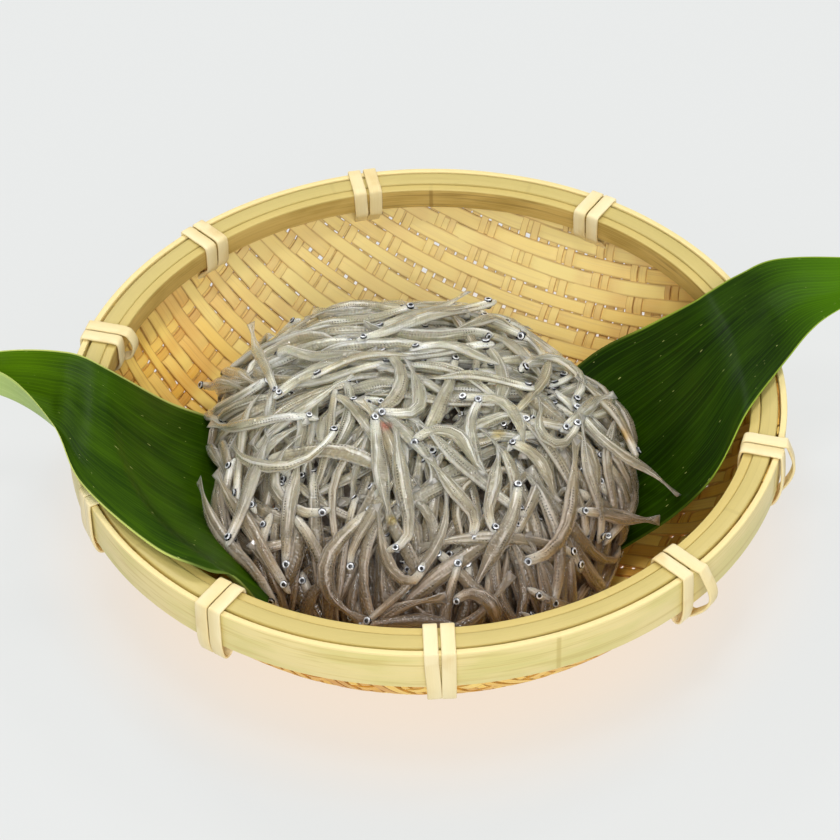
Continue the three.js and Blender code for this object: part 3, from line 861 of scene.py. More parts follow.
heap = {
    "x": -3.0,
    "y": -5.0,
    "top": 64.0,
    "alongX": 74.0,
    "alongY": 88.0,
    "plan": 1.9,  # 2 is an oval seen from above, more is squarer
    "power": 2.15,  # the same seen from the side
    "lean": -0.1,
    "spill": 0.1,  # how far it spreads at the left front
    "spillAngle": 222.0,
    "footShare": 0.93,
    "footSteps": 72,
}
cellSize = 2.0
gridHalf = 100  # cells from the middle of the height map to its edge
leafSamples = (261, 141)


def leafCells():
    # how high the leaves lie, as a height map
    cells = {}
    rows, cols = leafSamples
    for leaf in leaves.values():
        u = np.linspace(0, 1, rows)[:, None] * np.ones(cols)
        v = np.linspace(0, 1, cols) * np.ones(rows)[:, None]
        p = leafPoint(leaf, u, v).reshape(-1, 3)
        for x, y, z in zip(np.rint(p[:, 0] / cellSize), np.rint(p[:, 1] / cellSize), p[:, 2]):
            cells[(int(x), int(y))] = max(z, cells.get((int(x), int(y)), -1))
    grid = np.zeros((2 * gridHalf, 2 * gridHalf))
    for (x, y), z in cells.items():
        grid[x + gridHalf, y + gridHalf] = z
    return grid


leafGrid = leafCells()


def gridIndex(value):
    return np.clip(np.rint(value / cellSize).astype(int) + gridHalf, 0, 2 * gridHalf - 1)


def groundHeight(x, y):
    return np.maximum(bowlTop(np.hypot(x, y)), leafGrid[gridIndex(x), gridIndex(y)])


def heapReach(angle):
    c = np.abs(np.cos(angle)) / heap["alongX"]
    d = np.abs(np.sin(angle)) / heap["alongY"]
    return (c ** heap["plan"] + d ** heap["plan"]) ** (-1 / heap["plan"])


def heapPlace(angle, share):
    reach = heapReach(angle) * share
    y = reach * np.sin(angle)
    return heap["x"] + reach * np.cos(angle) + heap["lean"] * y, heap["y"] + y


footAngles = np.arange(heap["footSteps"]) * 2 * pi / heap["footSteps"]
footRaw = groundHeight(*heapPlace(footAngles, heap["footShare"]))
footHeights = np.mean([np.roll(footRaw, -k) for k in range(-4, 5)], axis=0)


def footHeight(angle):
    # height of the heap's foot, the same at a full turn as at none
    angles = np.append(footAngles, 2 * pi)
    return np.interp(np.mod(angle, 2 * pi), angles, np.append(footHeights, footHeights[0]))


def swell(angle, height):
    # the spill and some low broad bumps
    spill = np.maximum(0, np.cos(angle - radians(heap["spillAngle"]))) ** 8 * heap["spill"]
    broad = 0.02 * np.sin(3 * angle + 0.4) + 0.028 * np.sin(5 * angle + 1.1 + 2 * height)
    return 1 + spill + broad + 0.018 * np.sin(9 * angle - 3 * height)


def heapLevel(p, inset):
    y = p[..., 1] - heap["y"]
    x = p[..., 0] - heap["x"] - heap["lean"] * y
    angle = np.arctan2(y, x)
    foot = footHeight(angle)
    height = np.maximum(0, p[..., 2] - foot) / (heap["top"] - inset - foot)
    spread = np.hypot(x, y) / (heapReach(angle) - inset) / swell(angle, height)
    return (spread ** heap["power"] + height ** heap["power"]) ** (1 / heap["power"]) - 1


def unit(v):
    return v / (np.linalg.norm(v, axis=-1, keepdims=True) + 1e-12)


def heapNormal(p, inset):
    steps = np.eye(3) * 0.5
    return unit(np.stack([heapLevel(p + s, inset) - heapLevel(p - s, inset) for s in steps], -1))


def ontoHeap(p, inset, passes=4):
    for _ in range(passes):
        normal = heapNormal(p, inset)
        level = heapLevel(p, inset)
        rate = heapLevel(p + normal, inset) - level
        p = p - normal * np.clip(level / np.maximum(rate, 1e-3), -6, 6)[..., None]
    return p


def turnAbout(v, axis, angle):
    c, s = np.cos(angle)[..., None], np.sin(angle)[..., None]
    along = (v * axis).sum(-1, keepdims=True)
    return v * c + np.cross(axis, v) * s + axis * along * (1 - c)


def onPlane(v, normal):
    return unit(v - normal * (v * normal).sum(-1, keepdims=True))


# whitebait: every fish is laid on the ones below it

fish = {
    "count": 780,
    "deepShare": 0.42,  # the first fish are mostly covered and have fewer faces
    "blindShare": 0.3,  # and the very first have no eyes
    "choices": 11,  # places tried for each fish
    "shortest": 38.0,
    "longest": 56.0,
    "girth": 1.0,
    "layerInset": 8.5,  # depth below the heap's skin where the first fish lie
    "crestY": 2.0,  # how far in front of the middle the fish begin to hang down to the front
    "turnSpread": 36.0,
    "strayShare": 0.4,  # share of the fish that lie any way
    "strayTurn": 90.0,
    "bend": 7.5,
    "highest": 66.5,
    "farthest": 103.0,  # from the middle of the basket
    "proud": 2.0,  # how far a fish may stand out of the heap's skin
    "lowest": 3.5,  # a fish that would have to be lifted further off the weave is left out
    "press": 0.8,  # how far soft bodies press into each other
    "near": 34.0,  # fish farther off than this can't touch
    "sag": 0.3,  # how far a body hangs between the points it rides on
    "looseShare": 0.3,  # share of the upper fish with one end that stands off the heap
    "looseLift": 4.5,
    "topPress": 1.6,  # how far the listed fish sink into the skin
    "topTurn": 0.25,
    "thinnest": 0.78,
    "thickest": 1.2,
    "seed": 27,
}
stationCount = 11  # points on a fish's middle line
levelSize = 70.0  # millimetres for one level of the heap's skin
# the fish that show most, laid last: spots from the snout to the tail
topFish = {
    "lowRight": [(50, -44, 44), (58, -41, 39), (67, -38, 33), (77, -36, 30)],
    "overLeaf": [(50, -2, 55), (56, -14, 51), (66, -19, 44), (75, -21, 40), (84, -29, 36)],
    "matFar": [(-81, 44, 25), (-75, 37, 29), (-68, 28, 37), (-62, 17, 46)],
    "matNear": [(-70, 46, 27), (-66, 37, 33), (-62, 27, 41), (-57, 14, 49)],
    "leftSpike": [(-36, -13, 60), (-56, -12, 55), (-64, -8, 50), (-74, 3, 44)],
    "leftUp": [(-50, 2, 56), (-54, 20, 52), (-59, 37, 48), (-61, 52, 46)],
    "backUp": [(-17, 31, 60), (-6, 37, 60), (5, 43, 59), (15, 50, 60)],
    "backSlope": [(36, 39, 47), (26, 45, 50), (17, 36, 56), (8, 30, 59)],
    "crestBack": [(-4, 45, 54), (-17, 49, 52), (-28, 51, 50), (-41, 54, 46)],
    "crestRight": [(26, 51, 55), (13, 44, 57), (1, 36, 59), (-17, 26, 61)],
    "crestLeft": [(-23, 21, 61), (-12, 26, 61), (1, 33, 60), (14, 41, 56)],
    "leftHeads": [(-51, 0, 56), (-44, 6, 58), (-34, 11, 60), (-17, 14, 62)],
    "leftHeadsLower": [(-38, 6, 59), (-28, 10, 61), (-17, 12, 63), (-2, 11, 63)],
    "backHead": [(-5, 14, 63), (3, 16, 62), (13, 13, 62), (28, 8, 60)],
    "rightEdge": [(50, 0, 52), (54, 14, 49), (44, 20, 52), (34, 12, 58)],
    "rightBelly": [(72, -13, 38), (68, -3, 42), (61, 5, 47), (52, 12, 51)],
    "rightSpike": [(45, -18, 56), (54, -6, 54), (58, 2, 52), (64, 6, 50)],
    "leftLow": [(-70, -20, 42), (-68, -32, 42), (-64, -44, 40), (-60, -52, 37)],
    "rightHead": [(51, -12, 54), (45, -24, 54), (37, -22, 57), (39, -6, 58)],
    "crossRight": [(36, -2, 58), (27, -1, 61), (14, 1, 63), (-1, 0, 64)],
    "crossArc": [(10, -9, 63), (17, -10, 63), (25, -10, 61), (31, -20, 59), (32, -30, 57)],
    "rightShort": [(27, -26, 59), (32, -28, 57), (37, -31, 54), (42, -43, 48)],
    "midDown": [(18, -10, 62), (14, -21, 62), (15, -32, 61), (20, -44, 58)],
    "midLow": [(21, -62, 50), (19, -55, 54), (21, -46, 56), (24, -30, 59)],
    "midTwist": [(13, -66, 51), (15, -57, 54), (9, -50, 58), (1, -36, 62)],
    "arcMid": [(-6, -30, 62), (1, -27, 63), (10, -28, 62), (17, -42, 59)],
    "frontDown": [(29, -42, 55), (26, -56, 51), (20, -67, 48), (13, -79, 42)],
    "rightDown": [(57, -46, 30), (55, -37, 40), (53, -29, 47), (51, -12, 53)],
    "rightElbow": [(28, -68, 45), (37, -64, 42), (43, -51, 42), (47, -36, 46), (49, -21, 52)],
    "rimBack": [(7, -82, 41), (13, -79, 42), (19, -82, 38), (22, -86, 30)],
    "rimFront": [(-24, -82, 31), (-10, -85, 36), (1, -86, 37), (12, -87, 34)],
    "frontCurl": [(-17, -51, 55), (-26, -58, 50), (-33, -64, 44), (-32, -73, 36), (-22, -81, 33)],
    "frontCurlUp": [(-26, -69, 42), (-25, -63, 47), (-19, -56, 53), (-9, -42, 60)],
    "onLeaf": [(-50, -72, 28), (-57, -66, 42), (-65, -60, 46), (-72, -48, 48), (-77, -28, 46)],
    "onLeafInner": [(-46, -72, 36), (-52, -63, 43), (-58, -53, 48), (-66, -40, 50), (-71, -26, 48)],
    "leftWide": [(-61, -55, 39), (-58, -47, 46), (-56, -35, 52), (-52, -18, 56)],
    "leftInner": [(-47, -65, 39), (-46, -55, 48), (-44, -42, 54), (-42, -28, 58)],
    "leftHook": [
        (-29, -18, 62), (-33, -28, 60), (-41, -34, 57), (-50, -34, 54), (-60, -26, 52), (-66, -12, 49),
    ],
    "sagArc": [(-2, -72, 49), (-4, -77, 45), (-10, -76, 46), (-15, -67, 49), (-16, -54, 55)],
    "downOuter": [(-17, -18, 63), (-16, -34, 61), (-14, -47, 57), (-12, -58, 54)],
    "downMiddle": [(-14, -67, 50), (-6, -65, 52), (-7, -53, 57), (-9, -37, 61), (-10, -22, 63)],
    "elbow": [(-17, -16, 63), (-10, -17, 63), (-3, -17, 64), (-2, -8, 64), (-5, 8, 64)],
}
# along a fish from snout to tail: share of its length, half depth and half thickness
fishSections = np.array([
    (0.0, 0.34, 0.44), (0.013, 0.74, 0.86), (0.033, 1.04, 1.16), (0.066, 1.26, 1.36), (0.11, 1.42, 1.42),
    (0.19, 1.6, 1.4), (0.31, 1.88, 1.5), (0.43, 2.2, 1.64), (0.54, 2.45, 1.72), (0.64, 2.35, 1.58),
    (0.73, 1.85, 1.26), (0.8, 1.3, 0.88), (0.86, 0.9, 0.55), (0.9, 0.82, 0.32), (0.94, 1.15, 0.18),
    (0.975, 1.6, 0.11), (1.0, 1.8, 0.08),
])
fineRows = list(range(len(fishSections)))
coarseRows = fineRows[::2]
eye = {
    "share": 0.066,  # of the fish's length
    "sides": 8,
    "sunk": 0.12,
    "aside": 0.25,
    # radius, bulge and paint of each ring: black pupil, silver iris, dark outer line
    "rings": [
        (0.0, 0.62, 0), (0.42, 0.6, 0), (0.72, 0.5, 0), (0.78, 0.55, 1), (1.26, 0.36, 1), (1.34, 0.2, 0),
        (1.42, -0.3, 0),
    ],
}


def lieOf(place, normal, dice):
    # across the crest at the back, down to the front and the sides elsewhere
    front = smoothShare(-place[..., 1], fish["crestY"], fish["crestY"] + 16)
    steep = np.maximum(smoothShare(1 - normal[..., 2], 0.12, 0.36), front)[..., None]
    level = onPlane(np.array([1.0, 0.0, 0.0]) + normal * 0, normal)
    down = onPlane(np.array([0.0, 0.0, -1.0]) + normal * 0, normal) * (1 - normal[..., 2:3])
    down = onPlane(down + np.array([0.0, -0.35, 0.0]) * front[..., None], normal)
    level = level * np.where((level * down).sum(-1, keepdims=True) < 0, -1, 1)
    lie = unit(level * (1 - steep) + down * steep)
    stray = dice.uniform(0, 1, len(normal)) < fish["strayShare"]
    spread = np.radians(np.where(stray, fish["strayTurn"], fish["turnSpread"]))
    return turnAbout(lie, normal, dice.uniform(-1, 1, len(normal)) * spread)


def layPaths(dice, count, inset):
    # many middle lines on the bare skin: points and outward directions
    angle = dice.uniform(0, 2 * pi, count)
    share = dice.uniform(0, 1, count) ** 0.5
    x, y = heapPlace(angle, share)
    foot = footHeight(angle)
    height = np.sqrt(np.maximum(0, 1 - share ** 2)) * dice.uniform(0.35, 1, count)
    start = ontoHeap(np.stack([x, y, foot + (heap["top"] - foot) * height], -1), inset, 6)
    length = dice.uniform(fish["shortest"], fish["longest"], count)
    bend = dice.normal(0, radians(fish["bend"]), count)
    wave = dice.normal(0, radians(fish["bend"]), count)
    normal = heapNormal(start, inset)
    first = lieOf(start, normal, dice)
    halves = []
    for way in (1, -1):
        p, heading = start, first * way
        line, outs = [], []
        for i in range(stationCount // 2):
            turn = way * bend + wave * sin(1.3 * i + (0.5 if way > 0 else 2.0))
            normal = heapNormal(p, inset)
            heading = turnAbout(onPlane(heading, normal), normal, turn)
            p = ontoHeap(p + heading * (length / (stationCount - 1))[:, None], inset, 2)
            line.append(p)
            outs.append(heapNormal(p, inset))
        halves.append((line, outs))
    line = halves[1][0][::-1] + [start] + halves[0][0]
    outs = halves[1][1][::-1] + [heapNormal(start, inset)] + halves[0][1]
    return np.stack(line, 1), np.stack(outs, 1), length


def smoothRide(ride, sag, passes=14):
    for _ in range(passes):
        middle = (ride[..., :-2] + ride[..., 2:]) / 2 - sag
        ride[..., 1:-1] = np.maximum(ride[..., 1:-1], middle)
    soft = ride.copy()
    soft[..., 1:-1] = ride[..., 1:-1] * 0.5 + (ride[..., :-2] + ride[..., 2:]) * 0.25
    return soft


def rideOver(pool, line, out, up, aside):
    # how far a body rises at each of its points to lie on the ones before it
    spots, ups, asides = pool
    near = np.linalg.norm(spots - line[stationCount // 2], axis=1) < fish["near"]
    offset = spots[near][None] - line[:, None]
    lift = (offset * out[:, None]).sum(-1)
    away = np.sqrt(np.maximum(0, (offset ** 2).sum(-1) - lift ** 2))
    room = (aside[:, None] + asides[near][None]) * fish["press"]
    height = (up[:, None] + ups[near][None]) * fish["press"]
    over = lift + height * np.sqrt(np.maximum(0, 1 - (away / room) ** 2))
    return smoothRide(np.maximum(0, np.where(away < room, over, 0).max(1, initial=0)), fish["sag"])


def addToPool(pool, line, up, aside):
    # the stations of a body and the places half way between them
    new = (line, up, aside)
    return tuple(np.concatenate([old, v, (v[1:] + v[:-1]) / 2]) for old, v in zip(pool, new))


def offTheFloor(line, up):
    floor = groundHeight(line[:, 0], line[:, 1]) + up + 0.5
    line[:, 2] = np.maximum(line[:, 2], floor)
    line[1:-1] = line[1:-1] * 0.5 + (line[:-2] + line[2:]) * 0.25
    return line


def bestPlace(choices, pool, halfDeep, halfThick):
    # of some places on the skin, the one where a fish rides lowest and stands out least
    best = None
    for line, out, roll, length in choices:
        up = np.hypot(halfThick * cos(roll), halfDeep * sin(roll))
        aside = np.hypot(halfThick * sin(roll), halfDeep * cos(roll))
        ride = rideOver(pool, line, out, up, aside)
        proud = heapLevel(line + out * (ride + up * 0.7)[:, None], 0.0) * levelSize
        cost = ride.mean() + 0.35 * ride.max() + np.maximum(0, proud).mean() * 3
        low = groundHeight(line[:, 0], line[:, 1]) + up - (line + out * ride[:, None])[:, 2]
        cost += 1.5 * np.maximum(0, low).mean()
        fits = low.max() < fish["lowest"] and proud.max() < fish["proud"]
        if fits and (best is None or cost < best[0]):
            best = (cost, line, out, ride, up, aside, roll, length)
    return best and best[1:]


def layAllFish():
    dice = np.random.default_rng(fish["seed"])
    total = fish["count"] * fish["choices"]
    lines, outs, lengths = layPaths(dice, total, fish["layerInset"])
    radial = np.hypot(lines[..., 0], lines[..., 1]).max(1)
    onItsSide = dice.uniform(0, 1, total) < 0.7
    roll = np.where(onItsSide, dice.normal(0, 0.35, total), dice.uniform(-pi, pi, total))
    shares = np.linspace(0, 1, stationCount)
    halfDeep = np.interp(shares, fishSections[:, 0], fishSections[:, 1]) * fish["girth"]
    halfThick = np.interp(shares, fishSections[:, 0], fishSections[:, 2]) * fish["girth"]
    flip = dice.uniform(0, 1, total) < 0.5
    laid = []
    pool = (np.zeros((0, 3)), np.zeros(0), np.zeros(0))
    for k in range(fish["count"]):
        choices = []
        for c in range(k * fish["choices"], (k + 1) * fish["choices"]):
            if radial[c] <= fish["farthest"]:
                way = -1 if flip[c] else 1
                choices.append((lines[c][::way], outs[c][::way], roll[c], lengths[c]))
        best = bestPlace(choices, pool, halfDeep, halfThick)
        if best is None:
            continue
        line, out, ride, up, aside, turn, length = best
        line = offTheFloor(line + out * ride[:, None], up)
        if k > 0.5 * fish["count"] and dice.uniform() < fish["looseShare"]:
            lift = smoothShare(shares, 0.55, 1.0) * dice.uniform(0.4, 1) * fish["looseLift"]
            line = line + out * (lift if dice.uniform() < 0.5 else lift[::-1])[:, None]
            line[:, 2] = np.minimum(line[:, 2], fish["highest"])
        laid.append((line, out, turn, length))
        pool = addToPool(pool, line, up, aside)
    for spots in topFish.values():
        fine = openCurve(spots, np.linspace(0, 1, 61))
        run = np.append(0, np.cumsum(np.linalg.norm(np.diff(fine, axis=0), axis=1)))
        line = np.stack([np.interp(shares * run[-1], run, fine[:, i]) for i in range(3)], -1)
        out = heapNormal(line, 0.0)
        line = line - out * fish["topPress"]
        ride = rideOver(pool, line, out, halfThick, halfDeep)
        line = offTheFloor(line + out * ride[:, None], halfThick)
        line[:, 2] = np.minimum(line[:, 2], fish["highest"])
        laid.append((line, out, dice.normal(0, fish["topTurn"]), run[-1] + 6))
        pool = addToPool(pool, line, halfThick, halfDeep)
    print("laid", len(laid), "fish, ride up to", round(max(b[0][:, 2].max() for b in laid), 1), "mm high")
    return laid, dice


def fishFrame(line, out, roll, share):
    # middle point, direction and the fish's own depth and thickness directions at a share of its length
    place = openCurve(line, share)
    ahead, behind = np.minimum(share + 0.02, 1.0), np.maximum(share - 0.02, 0.0)
    tangent = unit(openCurve(line, ahead) - openCurve(line, behind))
    stations = np.linspace(0, 1, stationCount)
    outAt = unit(np.stack([np.interp(share, stations, out[:, i]) for i in range(3)], -1))
    across = unit(np.cross(tangent, outAt))
    up = np.cross(across, tangent)
    deepWay = across * cos(roll) + up * sin(roll)
    thickWay = -across * sin(roll) + up * cos(roll)
    return place, tangent, deepWay, thickWay


def fishMould(rows, sides):
    # faces and UVs of one body with rings at these rows of fishSections
    shares = fishSections[rows, 0]
    i, k = np.meshgrid(np.arange(len(rows) - 1), np.arange(sides), indexing="ij")
    a = i * sides + k
    b = i * sides + (k + 1) % sides
    quads = np.stack([a, b, b + sides, a + sides], -1).reshape(-1, 4)
    quadUv = np.stack([
        np.stack([shares[i], k / sides], -1), np.stack([shares[i], (k + 1) / sides], -1),
        np.stack([shares[i + 1], (k + 1) / sides], -1), np.stack([shares[i + 1], k / sides], -1),
    ], -2).reshape(-1, 4, 2)
    fan = np.arange(1, sides - 1)
    snout = np.stack([np.zeros_like(fan), fan + 1, fan], -1)
    tail = np.stack([np.zeros_like(fan), fan, fan + 1], -1) + (len(rows) - 1) * sides
    capUv = np.zeros((2 * len(fan), 3, 2))
    capUv[len(fan):, :, 0] = 1.0
    return {
        "rows": rows, "turns": np.arange(sides) * 2 * pi / sides, "quads": quads, "quadUv": quadUv,
        "caps": np.concatenate([snout, tail]), "capUv": capUv,
    }


def fishBody(line, out, roll, size, mould):
    # the points of one body, and where its rings lie
    sections = fishSections[mould["rows"]]
    share, turns = sections[:, 0], mould["turns"]
    place, tangent, deepWay, thickWay = fishFrame(line, out, roll, share)
    wide = sections[:, 1:2] * size * np.cos(turns)
    thick = sections[:, 2:3] * size * np.sin(turns)
    # the belly hangs a little fuller than the back, and the tail is forked
    wide = np.where(wide < 0, wide * 1.08, wide)
    fork = smoothShare(share, 0.9, 1.0)[:, None] * (np.abs(np.cos(turns)) - 0.5) * 3.0
    points = (place[:, None] + deepWay[:, None] * wide[..., None] + thickWay[:, None] * thick[..., None]
              + tangent[:, None] * fork[..., None])
    return points.reshape(-1, 3), place


def addEyes(eyes, line, out, roll, size, dice):
    # an eye on each side of the head, as rings round a middle point
    at, alongWay, deepWay, thickWay = (v[0] for v in fishFrame(line, out, roll, np.array([eye["share"]])))
    half = np.interp(eye["share"], fishSections[:, 0], fishSections[:, 2]) * size
    sides, rings = eye["sides"], eye["rings"]
    for way in (-1, 1):
        middle = at + thickWay * way * (half - eye["sunk"]) + deepWay * eye["aside"]
        base = len(eyes["points"])
        grow = dice.uniform(0.85, 1.1)
        for radius, bulge, _ in rings:
            for k in range(sides if radius else 1):
                turn = 2 * pi * k / sides
                eyes["points"].append(middle + (alongWay * cos(turn) + deepWay * sin(turn)) * radius * grow
                                      + thickWay * way * bulge * grow)
        for k in range(sides):
            n = (k + 1) % sides
            eyes["fans"].append((base, base + 1 + k, base + 1 + n))
            for ring in range(len(rings) - 2):
                a, b = base + 1 + ring * sides + k, base + 1 + ring * sides + n
                eyes["quads"].append((a, a + sides, b + sides, b))
                eyes["quadPaint"].append(rings[ring + 2][2])


def buildFish(laid, dice, finish, eyePaints):
    moulds = [fishMould(coarseRows, 6), fishMould(fineRows, 8)]
    bodies, quadSets, capSets, quadUvs, capUvs, tints, lows = [], [], [], [], [], [], []
    eyes = {"points": [], "fans": [], "quads": [], "quadPaint": []}
    offset = 0
    for number, (line, out, roll, length) in enumerate(laid):
        mould = moulds[0 if number < fish["deepShare"] * len(laid) else 1]
        size = dice.uniform(fish["thinnest"], fish["thickest"]) * (0.8 + 0.2 * length / 46) * fish["girth"]
        points, place = fishBody(line, out, roll, size, mould)
        bodies.append(points)
        quadSets.append(mould["quads"] + offset)
        capSets.append(mould["caps"] + offset)
        quadUvs.append(mould["quadUv"])
        capUvs.append(mould["capUv"])
        offset += len(points)
        tints.append(np.full(len(points), dice.uniform()))
        low = 1 - smoothShare(place[:, 2] + 0.25 * place[:, 1], 12, 60)  # share of painted shade: 1 at the foot of the heap's front
        lows.append(np.repeat(low, len(mould["turns"])))
        if number >= fish["blindShare"] * len(laid):
            addEyes(eyes, line, out, roll, size, dice)
    piece = meshPiece(
        "whitebait", np.concatenate(bodies), [np.concatenate(quadSets), np.concatenate(capSets)], [finish],
        [np.concatenate(quadUvs), np.concatenate(capUvs)], "body",
        {"tint": np.concatenate(tints), "low": np.concatenate(lows)},
    )
    faceOutwards(piece.data)
    settle(piece, "whitebait", "whitebait_heap")
    fans = np.array(eyes["fans"])
    piece = meshPiece(
        "whitebaitEyes", np.array(eyes["points"]), [fans, np.array(eyes["quads"])], eyePaints,
        paintSets=[np.zeros(len(fans)), np.array(eyes["quadPaint"])],
    )
    faceOutwards(piece.data)
    settle(piece, "whitebait", "whitebait_heap")


# place, size and colour of the few coloured marks on the top fish
stains = [
    ((-13.5, -23, 63.5), 3.2, (232, 92, 34)), ((24, -23, 61), 4.0, (226, 190, 70)),
    ((66, -7, 43), 4.0, (230, 180, 70)), ((-12, -58, 55), 2.5, (220, 190, 60)),
]
fleshPaints = {
    "clear": (250, 247, 222),
    "warm": (255, 248, 214),
    "yellow": (246, 226, 176),
    "cloudy": (222, 210, 178),
    "streak": (170, 158, 126),
    "milkyAndRimSheen": (254, 253, 248),
    "gut": (120, 100, 74),
    "spine": (132, 124, 104),
    "low": (154, 116, 78),  # painted shade, warmed by light from the basket, on the fish at the foot of the heap's front
    "head": (240, 240, 232),
    "dot": (40, 36, 36),
}


def fishFinish():
    material, tree, shader = newFinish(
        "whitebaitFlesh", Roughness=0.16, IOR=1.37, Subsurface_Weight=0.5, Subsurface_Scale=0.003,
        Coat_Weight=1.0, Coat_Roughness=0.04, Sheen_Weight=0.15, Sheen_Roughness=0.3,
    )
    shader.inputs["Subsurface Radius"].default_value = (1.0, 0.85, 0.62)
    u, v, _ = splitXyz(readUv(tree, "body"))
    tint = readAttribute(tree, "tint")
    low = readAttribute(tree, "low")
    point = objectPoint(tree)
    cloud = noiseOf(point, 260.0, 3.0)
    other = tint * 7.7 - (tint * 7.7).math("FLOOR")
    back = ((v - 0.5).math("ABSOLUTE")) * 2.0  # 1 on the back, 0 on the belly
    paints = {name: paint(*colour) for name, colour in fleshPaints.items()}
    colour = mixColours(between(tint, 0.0, 1.0), paints["clear"], paints["warm"])
    colour = mixColours(between(other, 0.6, 1.0) * 0.6, colour, paints["yellow"])
    colour = mixColours(between(cloud, 0.4, 0.7) * 0.3, colour, paints["cloudy"])
    streaks = noiseOf(joinXyz(tree, u * 2.4, v * 9, tint * 90), 1.0, 3.0, 0.6)
    colour = mixColours(between(streaks, 0.5, 0.68) * 0.3, colour, paints["streak"])
    # pale along the back and belly edges: a painted highlight for light at the edges of the clear body,
    # added to the pale flesh streaks
    outline = between(back, 0.8, 0.96).math("MAXIMUM", between(back, 0.2, 0.05))
    milkyAndRimSheen = between(streaks, 0.5, 0.34).math("MAXIMUM", outline * 0.8)
    colour = mixColours(milkyAndRimSheen * 0.7, colour, paints["milkyAndRimSheen"])
    gut = between((back - 0.16).math("ABSOLUTE"), 0.0, 0.09, bottom=1.0, top=0.0) * between(u, 0.12, 0.2)
    gut = gut * between(u, 0.5, 0.66, bottom=1.0, top=0.0)
    colour = mixColours(gut * 0.5, colour, paints["gut"])
    spine = between((back - 0.56).math("ABSOLUTE"), 0.0, 0.05, bottom=1.0, top=0.0)
    colour = mixColours(spine * 0.4, colour, paints["spine"])
    # painted shade, warmed by light from the basket, at the foot of the heap's front
    colour = mixColours(low * 0.8, colour, paints["low"])
    head = between(u, 0.1, 0.2, bottom=1.0, top=0.0)
    colour = mixColours(head * 0.35, colour, paints["head"])
    # rows of tiny black dots along the belly and a sprinkle over the rest
    alongCell = u * 50.0
    alongMiddle = alongCell - alongCell.math("FLOOR") - 0.5
    wave = (noiseOf(joinXyz(tree, u * 5, tint * 31, 0.0)) - 0.5) * 0.09
    rows = []
    for at in (0.2, 0.33):
        aside = (back - at + wave) * 8.5
        spot = (alongMiddle * alongMiddle + aside * aside).math("SQRT")
        rows.append(between(spot, 0.2, 0.38, bottom=1.0, top=0.0))
    dots = rows[0].math("MAXIMUM", rows[1]) * between(u, 0.14, 0.2)
    dots = dots * between(u, 0.8, 0.88, bottom=1.0, top=0.0)
    presence = between(noiseOf(joinXyz(tree, u * 7, tint * 53, v * 4)), 0.42, 0.54)
    sprinkle = between(noiseOf(joinXyz(tree, u * 95, v * 26, tint * 40), 1.0, 1.0), 0.65, 0.71)
    sprinkle = sprinkle * between(u, 0.16, 0.3, bottom=1.0, top=0.2)
    marks = (dots * presence).math("MAXIMUM", sprinkle)
    colour = mixColours(marks * 0.8, colour, paints["dot"])
    for spot, size, stain in stains:
        aways = [value - spot[i] * mm for i, value in enumerate(splitXyz(point))]
        away = (aways[0] * aways[0] + aways[1] * aways[1] + aways[2] * aways[2]).math("SQRT")
        mark = between(away, size * 0.3 * mm, size * mm, bottom=0.75, top=0.0)
        colour = mixColours(mark, colour, paint(*stain))
    tree.links.new(colour.socket, shader.inputs["Base Color"])
    clear = between(u, 0.14, 0.3, bottom=0.35, top=0.76) - milkyAndRimSheen * 0.34
    tree.links.new(clear.socket, shader.inputs["Transmission Weight"])
    # muscle bands like arrowheads, and soft folds
    muscle = ((u * 46 + (back - 0.5).math("ABSOLUTE") * 2.6) * (2 * pi)).math("SINE")
    folds = noiseOf(joinXyz(tree, u * 34, v * 7, tint * 20), 1.0, 3.0, 0.65)
    inputs = {"Height": muscle * 0.1 + folds * 0.8, "Strength": 0.6, "Distance": 0.0006}
    relief = addNode(tree, "ShaderNodeBump", inputs)
    tree.links.new(relief.outputs[0], shader.inputs["Normal"])
    tree.links.new(relief.outputs[0], shader.inputs["Coat Normal"])
    return material


def eyeFinishes():
    black, _, _ = newFinish("eyeBlack", Roughness=0.12, Base_Color=paint(14, 14, 20), Coat_Weight=0.6)
    silver, tree, shader = newFinish("eyeSilver", Roughness=0.25, Metallic=0.25, Coat_Weight=0.4)
    cloud = noiseOf(objectPoint(tree), 900.0, 2.0)
    colour = mixColours(between(cloud, 0.42, 0.6), paint(252, 253, 255), paint(150, 154, 160))
    tree.links.new(colour.socket, shader.inputs["Base Color"])
    return [black, silver]


def coreFinish():
    material, tree, shader = newFinish("heapShade", Roughness=0.3, Coat_Weight=0.5, Coat_Roughness=0.15)
    cloud = noiseOf(objectPoint(tree), 160.0, 4.0)
    fine = noiseOf(objectPoint(tree), 700.0, 3.0)
    colour = mixColours(between(cloud, 0.35, 0.65), paint(66, 56, 50), paint(104, 94, 84))
    tree.links.new(colour.socket, shader.inputs["Base Color"])
    addBump(tree, shader, cloud * 0.6 + fine * 0.4, 0.8, 0.002)
    return material


core = {
    "inset": 9.1,  # depth below the heap's skin
    "sides": 120,
    "rings": 30,
    "underShares": (0.02, 0.25, 0.5, 0.75, 0.92),
    "overGround": 0.8,
    "dent": 0.7,
}


